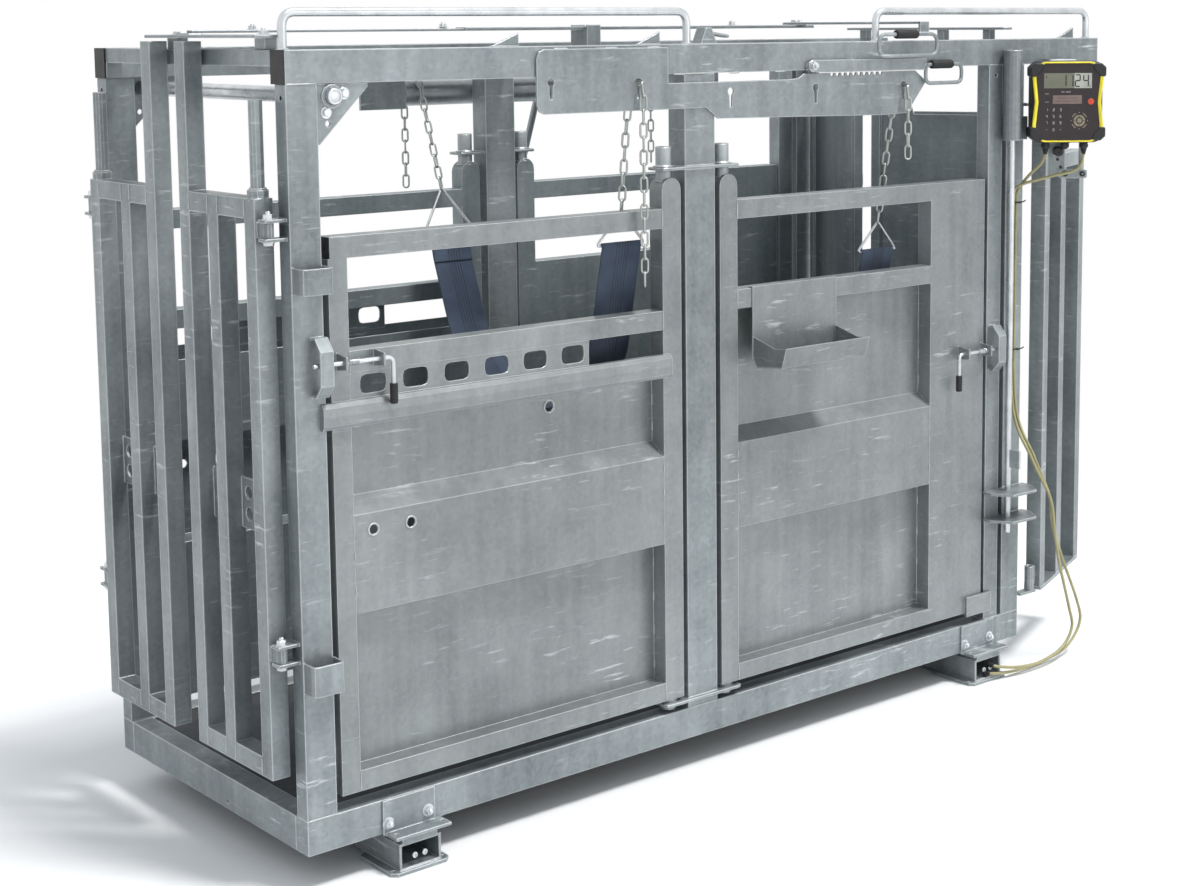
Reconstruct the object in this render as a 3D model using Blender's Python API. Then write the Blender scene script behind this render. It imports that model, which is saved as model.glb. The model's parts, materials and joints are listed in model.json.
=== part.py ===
"""Galvanised cattle crush with a yoke head gate, side doors, belly straps and a weigh indicator.

Lengths are in metres. The crush stands along X: the head gate is at low X, the near side at low Y.
All sizes are measured from the near front bottom corner of the base frame, on the node "crush_frame".
"""

import math

import bmesh
import bpy
from mathutils import Matrix, Vector

# Overall sizes
FRAME_LENGTH = 2.718
FRAME_WIDTH = 1.03
RAIL_TOP = 2.0
FOOT_HEIGHT = 0.10
CENTRE_X = 1.6043
CENTRE_Y = 0.4710

# Tube sections
SILL_HEIGHT = 0.09
SILL_DEPTH = 0.06
RAIL_BOTTOM = 1.918
RAIL_DEPTH = 0.06
RAIL_LENGTH = 3.10
POST_DEPTH = 0.05
MIDDLE_POST = (1.254, 1.365)
DOOR_POST = (2.546, 2.612)
REAR_POST = (2.634, 2.718)
FRONT_POST = (0.0, 0.085)
WALL = 0.004
SHEET = 0.0025
GAP = 0.0003
RUNNING = 0.0005
RIB_COUNT = 5
RIB_INSET = 0.349

# Doors
DOOR_DEPTH = 0.055
DOOR_BOTTOM = 0.13
STILE_TOP = 1.596
FRONT_HINGE = (1.200, 0.030)
REAR_HINGE = (1.415, 0.030)
HINGE_PIN = 0.022
UPPER_HINGE_PLATE = (1.651, 1.659)
LOWER_HINGE_PLATE = (0.112, 0.120)
LEDGE_TOP = 0.882
LEDGE_FOOT = 0.843
BAND_FOOT = 0.592

# Latches
LATCH_OUT = -0.030
LATCH_ROD = 0.006
LATCH_GRIP = 0.010
FRONT_LATCH_Z = 1.237
REAR_LATCH_Z = 1.0

# Head gate
HEAD_HINGE = (-0.040, 0.030)
HEAD_TUBE = (-0.060, -0.010)
HEAD_PIN = 0.008
HEAD_PIN_HEIGHTS = (0.52, 1.57)
SHAFT_CENTRE = (0.125, 1.887)
SHAFT_RADIUS = 0.020

# Rear gates
LEAF_HINGE = (2.698, 0.078)
LEAF_TURN = 24.8
LEAF_REACH = FRAME_WIDTH / 2 - 0.070
LEAF_PIN = 0.009
OUTER_HINGE = (2.780, 0.0)
OUTER_TURN = 23.0
LOCK_ROD = (2.620, -0.035)
LOCK_ROD_RADIUS = 0.010

# Pawl lever on the near top rail
PAWL_PIVOT = (1.740, 1.930)
PAWL_PIN = 0.008
PAWL_BACK = -0.0066
PAWL_OUT = -0.0168

# Belly straps and their shaft
STRAP_CENTRES = (1.080, 2.120)
STRAP_WIDTH = 0.140
STRAP_THICK = 0.005
WINDING_SHAFT = (FRAME_WIDTH + 0.045, 1.845)
WINDING_RADIUS = 0.038
AXLE_RADIUS = 0.016
CHAIN_RADIUS = 0.0105
RING_WIRE = 0.004

# Indicator
INDICATOR_CENTRE = (2.7605, -0.1363, 1.799)
INDICATOR_TURN = -40.5
INDICATOR_SIZE = (0.226, 0.090, 0.262)
BUMPER = (0.1215, 0.1243)

# Load bars
LOAD_BARS = (0.2975, 2.515)
FOOT_HOLE = 0.00707
CABLE_RADIUS = 0.005

FINISHES = {
    "galvanised": ((0.50, 0.53, 0.54), 0.42, 0.90),
    "bright_zinc": ((0.62, 0.65, 0.67), 0.35, 0.95),
    "dark_floor": ((0.09, 0.10, 0.11), 0.70, 0.20),
    "black_plastic": ((0.02, 0.02, 0.022), 0.50, 0.0),
    "yellow_plastic": ((0.85, 0.72, 0.03), 0.40, 0.0),
    "panel": ((0.06, 0.045, 0.05), 0.45, 0.0),
    "red_rubber": ((0.75, 0.10, 0.05), 0.45, 0.0),
    "webbing": ((0.02, 0.03, 0.09), 0.85, 0.0),
    "cable": ((0.42, 0.38, 0.20), 0.55, 0.0),
}

for item in list(bpy.data.objects):
    bpy.data.objects.remove(item, do_unlink=True)

CRUSH = bpy.data.collections.new("cattle_crush")
CUTTERS = bpy.data.collections.new("cutters")
for collection in (CRUSH, CUTTERS):
    bpy.context.scene.collection.children.link(collection)
CUTTERS.hide_render = True

ROOT = bpy.data.objects.new("crush_frame", None)
ROOT.location = (-CENTRE_X, -CENTRE_Y, FOOT_HEIGHT)
CRUSH.objects.link(ROOT)
BASE = {ROOT.name: Vector((0, 0, 0))}


def joint_frame(name, point, parent=ROOT, turn=None):
    """An empty on a joint's axis. A turned one carries pieces measured from itself."""
    frame = bpy.data.objects.new(name, None)
    frame.empty_display_size = 0.1
    CRUSH.objects.link(frame)
    frame.parent = parent
    frame.location = Vector(point) - BASE[parent.name]
    BASE[frame.name] = Vector(point)
    if turn is not None:
        frame.rotation_euler[2] = math.radians(turn)
        BASE[frame.name] = Vector((0, 0, 0))
    return frame


def helper(shape):
    """A loose solid that is joined to a piece or cut from it."""
    solid = bpy.data.objects.new("solid", shape)
    solid.hide_render = True
    solid.display_type = "WIRE"
    CUTTERS.objects.link(solid)
    return solid


def from_bmesh(form):
    bmesh.ops.remove_doubles(form, verts=form.verts, dist=1e-6)
    bmesh.ops.recalc_face_normals(form, faces=form.faces)
    shape = bpy.data.meshes.new("solid")
    form.to_mesh(shape)
    form.free()
    return helper(shape)


def block(x0, x1, y0, y1, z0, z1):
    form = bmesh.new()
    bmesh.ops.create_cube(form, size=1.0)
    size = Matrix.Diagonal((x1 - x0, y1 - y0, z1 - z0, 1.0))
    middle = Vector(((x0 + x1) / 2, (y0 + y1) / 2, (z0 + z1) / 2))
    bmesh.ops.transform(form, matrix=Matrix.Translation(middle) @ size, verts=form.verts)
    return from_bmesh(form)


def rod(start, end, radius, sides=12, end_radius=None):
    start = Vector(start)
    end = Vector(end)
    run = end - start
    form = bmesh.new()
    bmesh.ops.create_cone(
        form,
        cap_ends=True,
        segments=sides,
        radius1=radius,
        radius2=radius if end_radius is None else end_radius,
        depth=run.length,
    )
    turn = Vector((0, 0, 1)).rotation_difference(run).to_matrix().to_4x4()
    bmesh.ops.transform(form, matrix=Matrix.Translation((start + end) / 2) @ turn, verts=form.verts)
    return from_bmesh(form)


def from_curve(curve):
    """The mesh of a curve, with its seams closed."""
    guide = bpy.data.objects.new("guide", curve)
    CUTTERS.objects.link(guide)
    bpy.context.view_layer.update()
    graph = bpy.context.evaluated_depsgraph_get()
    shape = bpy.data.meshes.new_from_object(guide.evaluated_get(graph))
    bpy.data.objects.remove(guide, do_unlink=True)
    form = bmesh.new()
    form.from_mesh(shape)
    bpy.data.meshes.remove(shape)
    return form


PLANES = {
    "XZ": Matrix(((1, 0, 0, 0), (0, 0, 1, 0), (0, 1, 0, 0), (0, 0, 0, 1))),
    "YZ": Matrix(((0, 0, 1, 0), (1, 0, 0, 0), (0, 1, 0, 0), (0, 0, 0, 1))),
    "XY": Matrix.Identity(4),
}


def plate(plane, outline, low, high, holes=()):
    """A flat outline with holes, drawn in a plane and thickened from low to high across it."""
    curve = bpy.data.curves.new("outline", "CURVE")
    curve.dimensions = "2D"
    curve.fill_mode = "BOTH"
    curve.extrude = (high - low) / 2
    for points in (outline, *holes):
        spline = curve.splines.new("POLY")
        spline.points.add(len(points) - 1)
        for point, (u, v) in zip(spline.points, points):
            point.co = (u, v, 0, 1)
        spline.use_cyclic_u = True
    form = from_curve(curve)
    lift = Matrix.Translation((0, 0, (low + high) / 2))
    bmesh.ops.transform(form, matrix=PLANES[plane] @ lift, verts=form.verts)
    return from_bmesh(form)


def rounded(points, radius, steps=3, closed=False):
    """The points of a path with each corner replaced by an arc."""
    points = [Vector(point) for point in points]
    count = len(points)
    path = []
    for index, corner in enumerate(points):
        if not closed and index in (0, count - 1):
            path.append(corner)
            continue
        before = points[index - 1] - corner
        after = points[(index + 1) % count] - corner
        half = before.angle(after) / 2
        reach = min(radius / math.tan(half), 0.49 * before.length, 0.49 * after.length)
        start = corner + before.normalized() * reach
        end = corner + after.normalized() * reach
        for step in range(steps + 1):
            share = step / steps
            one = start.lerp(corner, share)
            two = corner.lerp(end, share)
            path.append(one.lerp(two, share))
    return path


def tube(points, radius, sides=8, closed=False):
    """A round bar along a path."""
    curve = bpy.data.curves.new("path", "CURVE")
    curve.dimensions = "3D"
    curve.bevel_depth = radius
    curve.bevel_resolution = sides // 2 - 2
    curve.use_fill_caps = True
    spline = curve.splines.new("POLY")
    spline.points.add(len(points) - 1)
    for point, place in zip(spline.points, points):
        point.co = (*place, 1)
    spline.use_cyclic_u = closed
    return from_bmesh(from_curve(curve))


def strip(plane, path, thick, low, high):
    """A flat bar bent along a path in a plane, its width running from low to high across it."""
    path = [Vector(point) for point in path]
    sides = ([], [])
    for index, point in enumerate(path):
        before = (point - path[index - 1]).normalized() if index else None
        after = (path[index + 1] - point).normalized() if index < len(path) - 1 else before
        before = before or after
        across = Vector((-before.y - after.y, before.x + after.x)).normalized()
        reach = thick / 2 / max(0.3, across.dot(Vector((-after.y, after.x))))
        sides[0].append(point + across * reach)
        sides[1].append(point - across * reach)
    return plate(plane, sides[0] + sides[1][::-1], low, high)


def circle(u, v, radius, sides=12):
    turns = [2 * math.pi * (step + 0.5) / sides for step in range(sides)]
    return [(u + radius * math.cos(turn), v + radius * math.sin(turn)) for turn in turns]


def bearing(u, v, radius, sides=12):
    """A hole that a pin of this radius turns in."""
    return circle(u, v, (radius + RUNNING) / math.cos(math.pi / sides), sides)


def finish(piece, kind):
    colour, roughness, metallic = FINISHES[kind]
    material = bpy.data.materials.new(piece.name)
    material.use_nodes = True
    shader = material.node_tree.nodes["Principled BSDF"]
    shader.inputs["Base Color"].default_value = (*colour, 1.0)
    shader.inputs["Roughness"].default_value = roughness
    shader.inputs["Metallic"].default_value = metallic
    material.diffuse_color = (*colour, 1.0)
    piece.data.materials.clear()
    piece.data.materials.append(material)


def tidy(shape):
    """Merges the flat facets of a joined solid and drops the specks of air shut in where wires cross."""
    form = bmesh.new()
    form.from_mesh(shape)
    bmesh.ops.remove_doubles(form, verts=form.verts, dist=2e-7)
    bmesh.ops.dissolve_limit(form, angle_limit=math.radians(0.05), verts=form.verts, edges=form.edges)
    seen = set()
    specks = []
    for start in form.verts:
        if start in seen:
            continue
        shell = [start]
        seen.add(start)
        for vert in shell:
            for edge in vert.link_edges:
                other = edge.other_vert(vert)
                if other not in seen:
                    seen.add(other)
                    shell.append(other)
        if len(shell) < 7:
            specks += shell
    bmesh.ops.delete(form, geom=specks, context="VERTS")
    form.to_mesh(shape)
    form.free()


def weld(name, parts, cuts=(), frame=ROOT, origin=None, kind="galvanised"):
    """Joins overlapping solids into one named piece, cuts its openings and sets its origin."""
    first = parts[0]
    groups = []
    for operation, others in (("UNION", parts[1:]), ("DIFFERENCE", cuts)):
        if not others:
            continue
        group = bpy.data.collections.new(f"{name} {operation.lower()}")
        groups.append(group)
        for other in others:
            group.objects.link(other)
        modifier = first.modifiers.new(operation.title(), "BOOLEAN")
        modifier.operation = operation
        modifier.operand_type = "COLLECTION"
        modifier.collection = group
        modifier.solver = "EXACT"
    bpy.context.view_layer.update()
    graph = bpy.context.evaluated_depsgraph_get()
    shape = bpy.data.meshes.new_from_object(first.evaluated_get(graph))
    for solid in (*parts, *cuts):
        bpy.data.objects.remove(solid, do_unlink=True)
    for group in groups:
        bpy.data.collections.remove(group)
    tidy(shape)
    base = BASE[frame.name]
    origin = base if origin is None else Vector(origin)
    shape.transform(Matrix.Translation(-origin))
    shape.name = name
    piece = bpy.data.objects.new(name, shape)
    CRUSH.objects.link(piece)
    piece.parent = frame
    piece.location = origin - base
    finish(piece, kind)
    return piece


def mirrored(source, name, frame=ROOT):
    """The opposite-hand copy of a piece, on the far side."""
    shape = source.data.copy()
    shape.transform(Matrix.Diagonal((1, -1, 1, 1)))
    shape.flip_normals()
    shape.name = name
    piece = bpy.data.objects.new(name, shape)
    CRUSH.objects.link(piece)
    piece.parent = frame
    place = source.location.copy()
    place.y = FRAME_WIDTH - place.y if frame is ROOT else -place.y
    piece.location = place
    kind = source.data.materials[0].copy()
    kind.name = name
    shape.materials.clear()
    shape.materials.append(kind)
    return piece


def far(y):
    return FRAME_WIDTH - y


def hollow(x0, x1, y0, y1, z0, z1, wall, through):
    """A rectangular tube's outer solid and its bore, open at both ends along one axis."""
    low = [x0 + wall, y0 + wall, z0 + wall]
    high = [x1 - wall, y1 - wall, z1 - wall]
    axis = "XYZ".index(through)
    low[axis] = (x0, y0, z0)[axis] - 0.01
    high[axis] = (x1, y1, z1)[axis] + 0.01
    bore = block(low[0], high[0], low[1], high[1], low[2], high[2])
    return block(x0, x1, y0, y1, z0, z1), bore


def hex_head(x, y, z, toward, size=0.009, height=0.006):
    """A bolt head that stands out along Y."""
    return rod((x, y, z), (x, y + toward * height, z), size, 6)


# Base frame
def sill(name, y0, y1):
    outer = block(0.0, FRAME_LENGTH, y0, y1, 0.0, SILL_HEIGHT)
    bore = block(WALL, FRAME_LENGTH - WALL, y0 + WALL, y1 - WALL, WALL, SILL_HEIGHT - WALL)
    middle = (y0 + y1) / 2
    drains = [rod((x, middle, -0.01), (x, middle, 0.02), 0.006, 8) for x in (0.9, 1.8)]
    return weld(name, [outer], [bore, *drains])


sill("near_sill", 0.0, SILL_DEPTH)
sill("far_sill", far(SILL_DEPTH), far(0.0))

for name, x0, x1, face in (
    ("front_sill", 0.0, 0.06, 0.0),
    ("rear_sill", FRAME_LENGTH - 0.06, FRAME_LENGTH, FRAME_LENGTH),
):
    outer, bore = hollow(x0, x1, SILL_DEPTH + GAP, far(SILL_DEPTH) - GAP, 0.0, SILL_HEIGHT, WALL, "Y")
    drain = rod((face - 0.01, 0.418, 0.02), (face + 0.01, 0.418, 0.02), 0.006, 8)
    weld(name, [outer], [bore, drain])

floor_y = (SILL_DEPTH + GAP, far(SILL_DEPTH) - GAP)
floor_parts = [block(0.06 + GAP, FRAME_LENGTH - 0.06 - GAP, *floor_y, 0.080, 0.086)]
floor_cuts = []
for step in range(RIB_COUNT):
    rib = RIB_INSET + (FRAME_LENGTH - 2 * RIB_INSET) * step / (RIB_COUNT - 1)
    outer, bore = hollow(rib - 0.025, rib + 0.025, *floor_y, 0.030, 0.081, WALL, "Y")
    floor_parts.append(outer)
    bore.data.transform(Matrix.Translation((0, 0, -0.002)))
    floor_cuts.append(bore)
weld("floor_plate", floor_parts, floor_cuts, kind="dark_floor")


# Posts
POST_SPAN = (SILL_HEIGHT + GAP, RAIL_BOTTOM - GAP)


def keeper(x0, x1, z0, z1):
    """The bent strap that catches a latch bolt."""
    path = [
        (0.002, z0),
        (-0.018, z0),
        (-0.0425, z0 + 0.030),
        (-0.0425, z1 - 0.030),
        (-0.018, z1),
        (0.002, z1),
    ]
    return strip("YZ", path, 0.005, x0, x1)


outer, bore = hollow(*FRONT_POST, 0.0, POST_DEPTH, *POST_SPAN, WALL, "Z")
gusset_path = [
    (0.083, POST_SPAN[1]),
    (0.083, 1.770),
    (0.092, 1.770),
    (0.231, 1.908),
    (0.231, POST_SPAN[1]),
]
gusset_holes = [circle(0.117, 1.821, 0.008, 8), bearing(*SHAFT_CENTRE, SHAFT_RADIUS)]
gusset = plate("XZ", gusset_path, 0.005, 0.013, gusset_holes)
collar = plate(
    "XZ",
    circle(*SHAFT_CENTRE, 0.0295, 12),
    -0.004,
    0.006,
    [bearing(*SHAFT_CENTRE, SHAFT_RADIUS)],
)
post_parts = [outer, gusset, collar, keeper(0.048, 0.085, 1.1575, 1.3015)]
post_parts.append(hex_head(0.163, 0.006, 1.893, -1))
post_parts.append(hex_head(0.112, 0.006, 1.848, -1))
for z0, z1 in ((1.413, 1.478), (0.420, 0.497)):
    path = rounded([(0.004, 0.002), (0.004, -0.050), (0.087, -0.050), (0.087, 0.030)], 0.012, 2)
    post_parts.append(strip("XY", path, 0.005, z0, z1))
for height in HEAD_PIN_HEIGHTS:
    for z0, z1 in ((height - 0.027, height - 0.019), (height + 0.019, height + 0.027)):
        post_parts.append(block(-0.058, 0.002, 0.012, 0.048, z0, z1))
    post_parts.append(rod((*HEAD_HINGE, height - 0.033), (*HEAD_HINGE, height + 0.033), HEAD_PIN, 12))
post_cuts = [bore, rod((-0.01, 0.025, 1.885), (0.02, 0.025, 1.885), 0.007, 8)]
near_front_post = weld("near_front_post", post_parts, post_cuts)
mirrored(near_front_post, "far_front_post")

outer, bore = hollow(*MIDDLE_POST, 0.0, 0.07, *POST_SPAN, WALL, "Z")
post_parts = [outer]
for z0, z1 in (UPPER_HINGE_PLATE, LOWER_HINGE_PLATE):
    ears = [
        (1.163, -0.012),
        (1.455, -0.012),
        (1.455, 0.062),
        (1.163, 0.062),
    ]
    holes = [bearing(x, y, HINGE_PIN) for x, y in (FRONT_HINGE, REAR_HINGE)]
    post_parts.append(plate("XY", rounded(ears, 0.018, 2, True), z0, z1, holes))
near_middle_post = weld("near_middle_post", post_parts, [bore])
mirrored(near_middle_post, "far_middle_post")

outer, bore = hollow(*DOOR_POST, 0.0, POST_DEPTH, *POST_SPAN, WALL, "Z")
catch = keeper(2.556, 2.592, REAR_LATCH_Z - 0.072, REAR_LATCH_Z + 0.072)
vent = rod((2.579, -0.01, 1.885), (2.579, 0.02, 1.885), 0.006, 8)
near_door_post = weld("near_door_post", [outer, catch], [bore, vent])
mirrored(near_door_post, "far_door_post")


def rear_post(name, with_rod):
    outer, bore = hollow(*REAR_POST, 0.0, POST_DEPTH, *POST_SPAN, WALL, "Z")
    parts = [outer]
    cuts = [bore, rod((2.676, -0.01, 1.885), (2.676, 0.02, 1.885), 0.006, 8)]
    x, y = LEAF_HINGE
    for low, high, pin in ((0.1055, 0.1135, 0.160), (1.885, 1.893, 1.840)):
        ear = [(x - 0.018, 0.048), (x + 0.018, 0.048), (x + 0.018, y + 0.018), (x - 0.018, y + 0.018)]
        parts.append(plate("XY", rounded(ear, 0.010, 2, True), low, high))
        parts.append(rod((x, y, (low + high) / 2), (x, y, pin), LEAF_PIN, 10))
    if not with_rod:
        return weld(name, parts, cuts)
    x, y = OUTER_HINGE
    for low, high, pin in ((0.140, 0.148, 0.210), (1.782, 1.790, 1.720)):
        ear = [(2.716, -0.016), (x + 0.016, -0.016), (x + 0.016, 0.016), (2.716, 0.016)]
        parts.append(plate("XY", ear, low, high))
        parts.append(rod((x, y, (low + high) / 2), (x, y, pin), LEAF_PIN, 10))
    x, y = LOCK_ROD
    for z in (0.430, 0.520):
        guide = [(2.536, -GAP), (2.536, -0.035), (2.575, -0.100), (2.690, -0.100), (2.735, -0.035)]
        guide += [(2.735, -GAP), (2.712, -GAP), (2.712, 0.002), (2.640, 0.002), (2.640, -GAP)]
        hole = bearing(x, y, LOCK_ROD_RADIUS)
        parts.append(plate("XY", guide, z - 0.004, z + 0.004, [hole]))
    parts.append(block(2.640, 2.690, -0.040, 0.002, 1.676, 1.751))
    parts.append(rod((x, y, 1.676), (x, y, 1.965), 0.030, 16))
    cuts.append(rod((x, y, 1.60), (x, y, 1.78), LOCK_ROD_RADIUS + RUNNING, 12))
    cuts.append(rod((x, y, 1.757), (x, y, 1.98), 0.026, 16))
    return weld(name, parts, cuts)


rear_post("near_rear_post", True)
near_plain = rear_post("plain_rear_post", False)
mirrored(near_plain, "far_rear_post")
bpy.data.objects.remove(near_plain, do_unlink=True)

# Top rails
outer, bore = hollow(0.0, RAIL_LENGTH, 0.0, RAIL_DEPTH, RAIL_BOTTOM, RAIL_TOP, WALL, "X")
rail_parts = [outer]
for x0, x1 in ((0.615, 0.706), (1.102, 1.188), (2.918, 3.002)):
    fin = [(x0, RAIL_TOP - 0.001), (x1, RAIL_TOP - 0.001), (x1, RAIL_TOP + 0.035)]
    rail_parts.append(plate("XZ", fin, 0.027, 0.033))
saddle = [(1.325, 1.999), (1.385, 1.999), (1.365, 2.045), (1.345, 2.045)]
rail_parts.append(plate("XZ", saddle, 0.010, 0.050))
rail_parts.append(
    tube(
        rounded(
            [(1.37, 0.02, 2.03), (1.44, 0.02, 2.02), (1.44, 0.045, 2.02), (1.37, 0.045, 2.03)], 0.012,
            2,
        ),
        0.005, 6,
    )
)
x, z = PAWL_PIVOT
rail_parts.append(rod((x, 0.002, z), (x, PAWL_BACK + 0.0004, z), 0.0115, 12))
rail_parts.append(rod((x, 0.002, z), (x, PAWL_BACK - 0.009, z), PAWL_PIN, 12))
rail_parts.append(rod((x, PAWL_BACK - 0.0084, z), (x, PAWL_BACK - 0.014, z), 0.013, 6))
weld("near_top_rail", rail_parts, [bore])

outer, bore = hollow(0.0, RAIL_LENGTH, far(RAIL_DEPTH), far(0.0), RAIL_BOTTOM, RAIL_TOP, WALL, "X")
rail_parts = [outer]
for x0, x1 in ((0.84, 1.004), (2.168, 2.30)):
    rail_parts.append(block(x0, x1, far(0.001), far(-0.006), 1.800, 1.990))
    for x in (x0 + 0.03, x1 - 0.03):
        rail_parts.append(hex_head(x, far(-0.005), 1.960, 1, 0.011, 0.008))
shaft_y, shaft_z = WINDING_SHAFT
for x0, x1 in ((0.994, 1.004), (2.168, 2.178)):
    cheek = [(far(0.0), 1.800), (shaft_y + 0.030, 1.805), (shaft_y + 0.030, 1.885), (far(0.0), 1.950)]
    hole = bearing(shaft_y, shaft_z, AXLE_RADIUS)
    rail_parts.append(plate("YZ", cheek, x0, x1, [hole]))
weld("far_top_rail", rail_parts, [bore])

for name, y0 in (("near_rail_cap", 0.0), ("far_rail_cap", far(RAIL_DEPTH))):
    flange = block(-0.0053, -GAP, y0, y0 + RAIL_DEPTH, RAIL_BOTTOM, RAIL_TOP)
    inset = WALL + GAP
    plug = block(
        -0.003,
        0.030,
        y0 + inset,
        y0 + RAIL_DEPTH - inset,
        RAIL_BOTTOM + inset,
        RAIL_TOP - inset,
    )
    weld(name, [flange, plug], kind="black_plastic")

# Cross beams
beam_y = (RAIL_DEPTH + GAP, far(RAIL_DEPTH) - GAP)
outer, bore = hollow(0.0, 0.05, *beam_y, 1.960, 2.0, WALL, "Y")
weld("front_cross_beam", [outer], [bore])

outer, bore = hollow(1.28, 1.34, *beam_y, 1.930, 1.990, WALL, "Y")
saddle = block(1.285, 1.335, 0.475, 0.555, 1.988, 2.0397)
cheeks = [block(1.285, 1.335, y, y + 0.006, 2.030, 2.055) for y in (0.475, 0.549)]
weld("middle_cross_beam", [outer, saddle, *cheeks], [bore])

outer, bore = hollow(2.645, 2.705, *beam_y, 1.930, 1.990, WALL, "Y")
strap_top = plate(
    "XY", rounded([(2.650, 0.03), (2.700, 0.03), (2.700, 0.75), (2.650, 0.75)], 0.018, 2, True), 2.030,
    2.038,
)
stubs = [block(2.662, 2.688, y, y + 0.030, 1.988, 2.031) for y in (0.10, 0.30, 0.66)]
weld("rear_cross_beam", [outer, strap_top, *stubs], [bore])

shaft_ends = ((SHAFT_CENTRE[0], -0.020, SHAFT_CENTRE[1]), (SHAFT_CENTRE[0], far(-0.020), SHAFT_CENTRE[1]))
bore_ends = ((SHAFT_CENTRE[0], -0.030, SHAFT_CENTRE[1]), (SHAFT_CENTRE[0], far(-0.030), SHAFT_CENTRE[1]))
weld("head_shaft", [rod(*shaft_ends, SHAFT_RADIUS, 12)], [rod(*bore_ends, SHAFT_RADIUS - WALL, 8)])


# Keyhole strap plate with its rack edge
def keyhole(x, z):
    """A round hole with a slot under it that holds a chain link."""
    path = []
    for step in range(9):
        turn = math.radians(-60 + 300 * step / 8)
        path.append((x + 0.012 * math.cos(turn), z + 0.012 * math.sin(turn)))
    return path + [(x - 0.0045, z - 0.045), (x + 0.0045, z - 0.045)]


plate_path = [(0.739, 1.846), (0.747, 1.828), (0.764, 1.821), (1.330, 1.821), (1.375, 1.789)]
plate_path += [(2.054, 1.776), (2.155, 1.779), (2.240, 1.875), (2.190, 1.908)]
rack = []
for tooth in range(10):
    x = 2.045 - 0.023 * tooth
    rack += [(x, 1.908), (x - 0.003, 1.899), (x - 0.010, 1.897), (x - 0.015, 1.901), (x - 0.017, 1.908)]
plate_path += rack + [(1.713, 1.908), (1.690, 1.896), (1.656, 1.893), (1.190, 1.893), (1.190, 1.992)]
plate_path += [(0.764, 1.992), (0.747, 1.985), (0.739, 1.968)]
keyhole_places = ((0.785, 1.905), (1.083, 1.898), (1.423, 1.864), (1.76, 1.866), (2.138, 1.865))
keyholes = [keyhole(x, z) for x, z in keyhole_places]
weld("keyhole_plate", [plate("XZ", plate_path, -0.0063, -GAP, keyholes)])

# Guard rails on the near top rail
for name, x0, x1 in (("front_guard_rail", 0.0145, 1.2885), ("rear_guard_rail", 2.0505, 3.0715)):
    corners = [(x0, 0.03, RAIL_TOP + GAP), (x0, 0.03, 2.0885), (x1, 0.03, 2.0885), (x1, 0.03, RAIL_TOP + GAP)]
    weld(name, [tube(rounded(corners, 0.035, 3), 0.0135, 8)], kind="bright_zinc")


# Side doors
def hinge_stile(x0, x1, hinge):
    """A door's hinge tube with its round top, its pins and the collar it turns on."""
    middle = (x0 + x1) / 2
    radius = (x1 - x0) / 2
    x, y = hinge
    solids = [
        block(x0, x1, 0.0, DOOR_DEPTH, DOOR_BOTTOM, STILE_TOP),
        rod((middle, 0.0, STILE_TOP), (middle, DOOR_DEPTH, STILE_TOP), radius, 16),
        rod((x, y, 1.60), (x, y, 1.715), HINGE_PIN, 12),
        rod((x, y, 0.096), (x, y, 0.140), HINGE_PIN, 12),
        rod((x, y, LOWER_HINGE_PLATE[1] + GAP), (x, y, 0.135), 0.028, 12),
    ]
    bore = block(x0 + WALL, x1 - WALL, WALL, DOOR_DEPTH - WALL, 0.142, 1.590)
    return solids, bore


def door_sheet(x0, x1, top, bottom):
    """The sheet filling of a door, folded to a ledge and a flush band."""
    inner = DOOR_DEPTH - SHEET / 2
    outer = SHEET / 2 + 0.0005
    path = [
        (inner, top),
        (inner, LEDGE_TOP),
        (outer, LEDGE_FOOT),
        (outer, BAND_FOOT),
        (inner, BAND_FOOT - 0.010),
        (inner, bottom),
    ]
    return strip("YZ", path, SHEET, x0, x1)


def latch_bracket(x0, x1, z):
    """The two ears that guide a latch bolt."""
    parts = []
    cuts = []
    for x in (x0, x1 - 0.005):
        ear = [(0.002, z - 0.022), (-0.048, z - 0.016), (-0.048, z + 0.016), (0.002, z + 0.022)]
        parts.append(plate("YZ", ear, x, x + 0.005))
        cuts.append(rod((x - 0.003, LATCH_OUT, z), (x + 0.008, LATCH_OUT, z), LATCH_ROD + RUNNING, 10))
    return parts, cuts


near_front_axis = joint_frame("near_front_door_axis", (*FRONT_HINGE, 0.0))
far_front_axis = joint_frame("far_front_door_axis", (FRONT_HINGE[0], far(FRONT_HINGE[1]), 0.0))
near_rear_axis = joint_frame("near_rear_door_axis", (*REAR_HINGE, 0.0))
far_rear_axis = joint_frame("far_rear_door_axis", (REAR_HINGE[0], far(REAR_HINGE[1]), 0.0))

stile, stile_bore = hinge_stile(1.169, 1.237, FRONT_HINGE)
door_parts = stile + [
    block(0.102, 0.156, 0.0, DOOR_DEPTH, DOOR_BOTTOM, 1.491),
    block(0.108, 1.180, 0.0, DOOR_DEPTH, 1.4905, 1.545),
    block(0.150, 1.180, 0.0, DOOR_DEPTH, 1.205, 1.259),
    block(0.150, 1.180, 0.0, DOOR_DEPTH, DOOR_BOTTOM, 0.184),
    door_sheet(0.153, 1.172, 1.115, 0.180),
]
slots = []
for index in range(6):
    x = 0.2225 + 0.1255 * index
    slot = [(x - 0.038, 1.148), (x + 0.038, 1.148), (x + 0.038, 1.196), (x - 0.038, 1.196)]
    slots.append(rounded(slot, 0.016, 2, True))
slot_plate = [(0.153, 1.128), (0.905, 1.128), (0.905, 1.208), (0.153, 1.208)]
door_parts.append(plate("XZ", slot_plate, 0.0005, 0.0045, slots))
rub_rail = [
    (0.0025, 1.068),
    (-0.008, 1.070),
    (-0.015, 1.080),
    (-0.017, 1.1025),
    (-0.015, 1.125),
    (-0.008, 1.135),
    (0.0025, 1.137),
]
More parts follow.
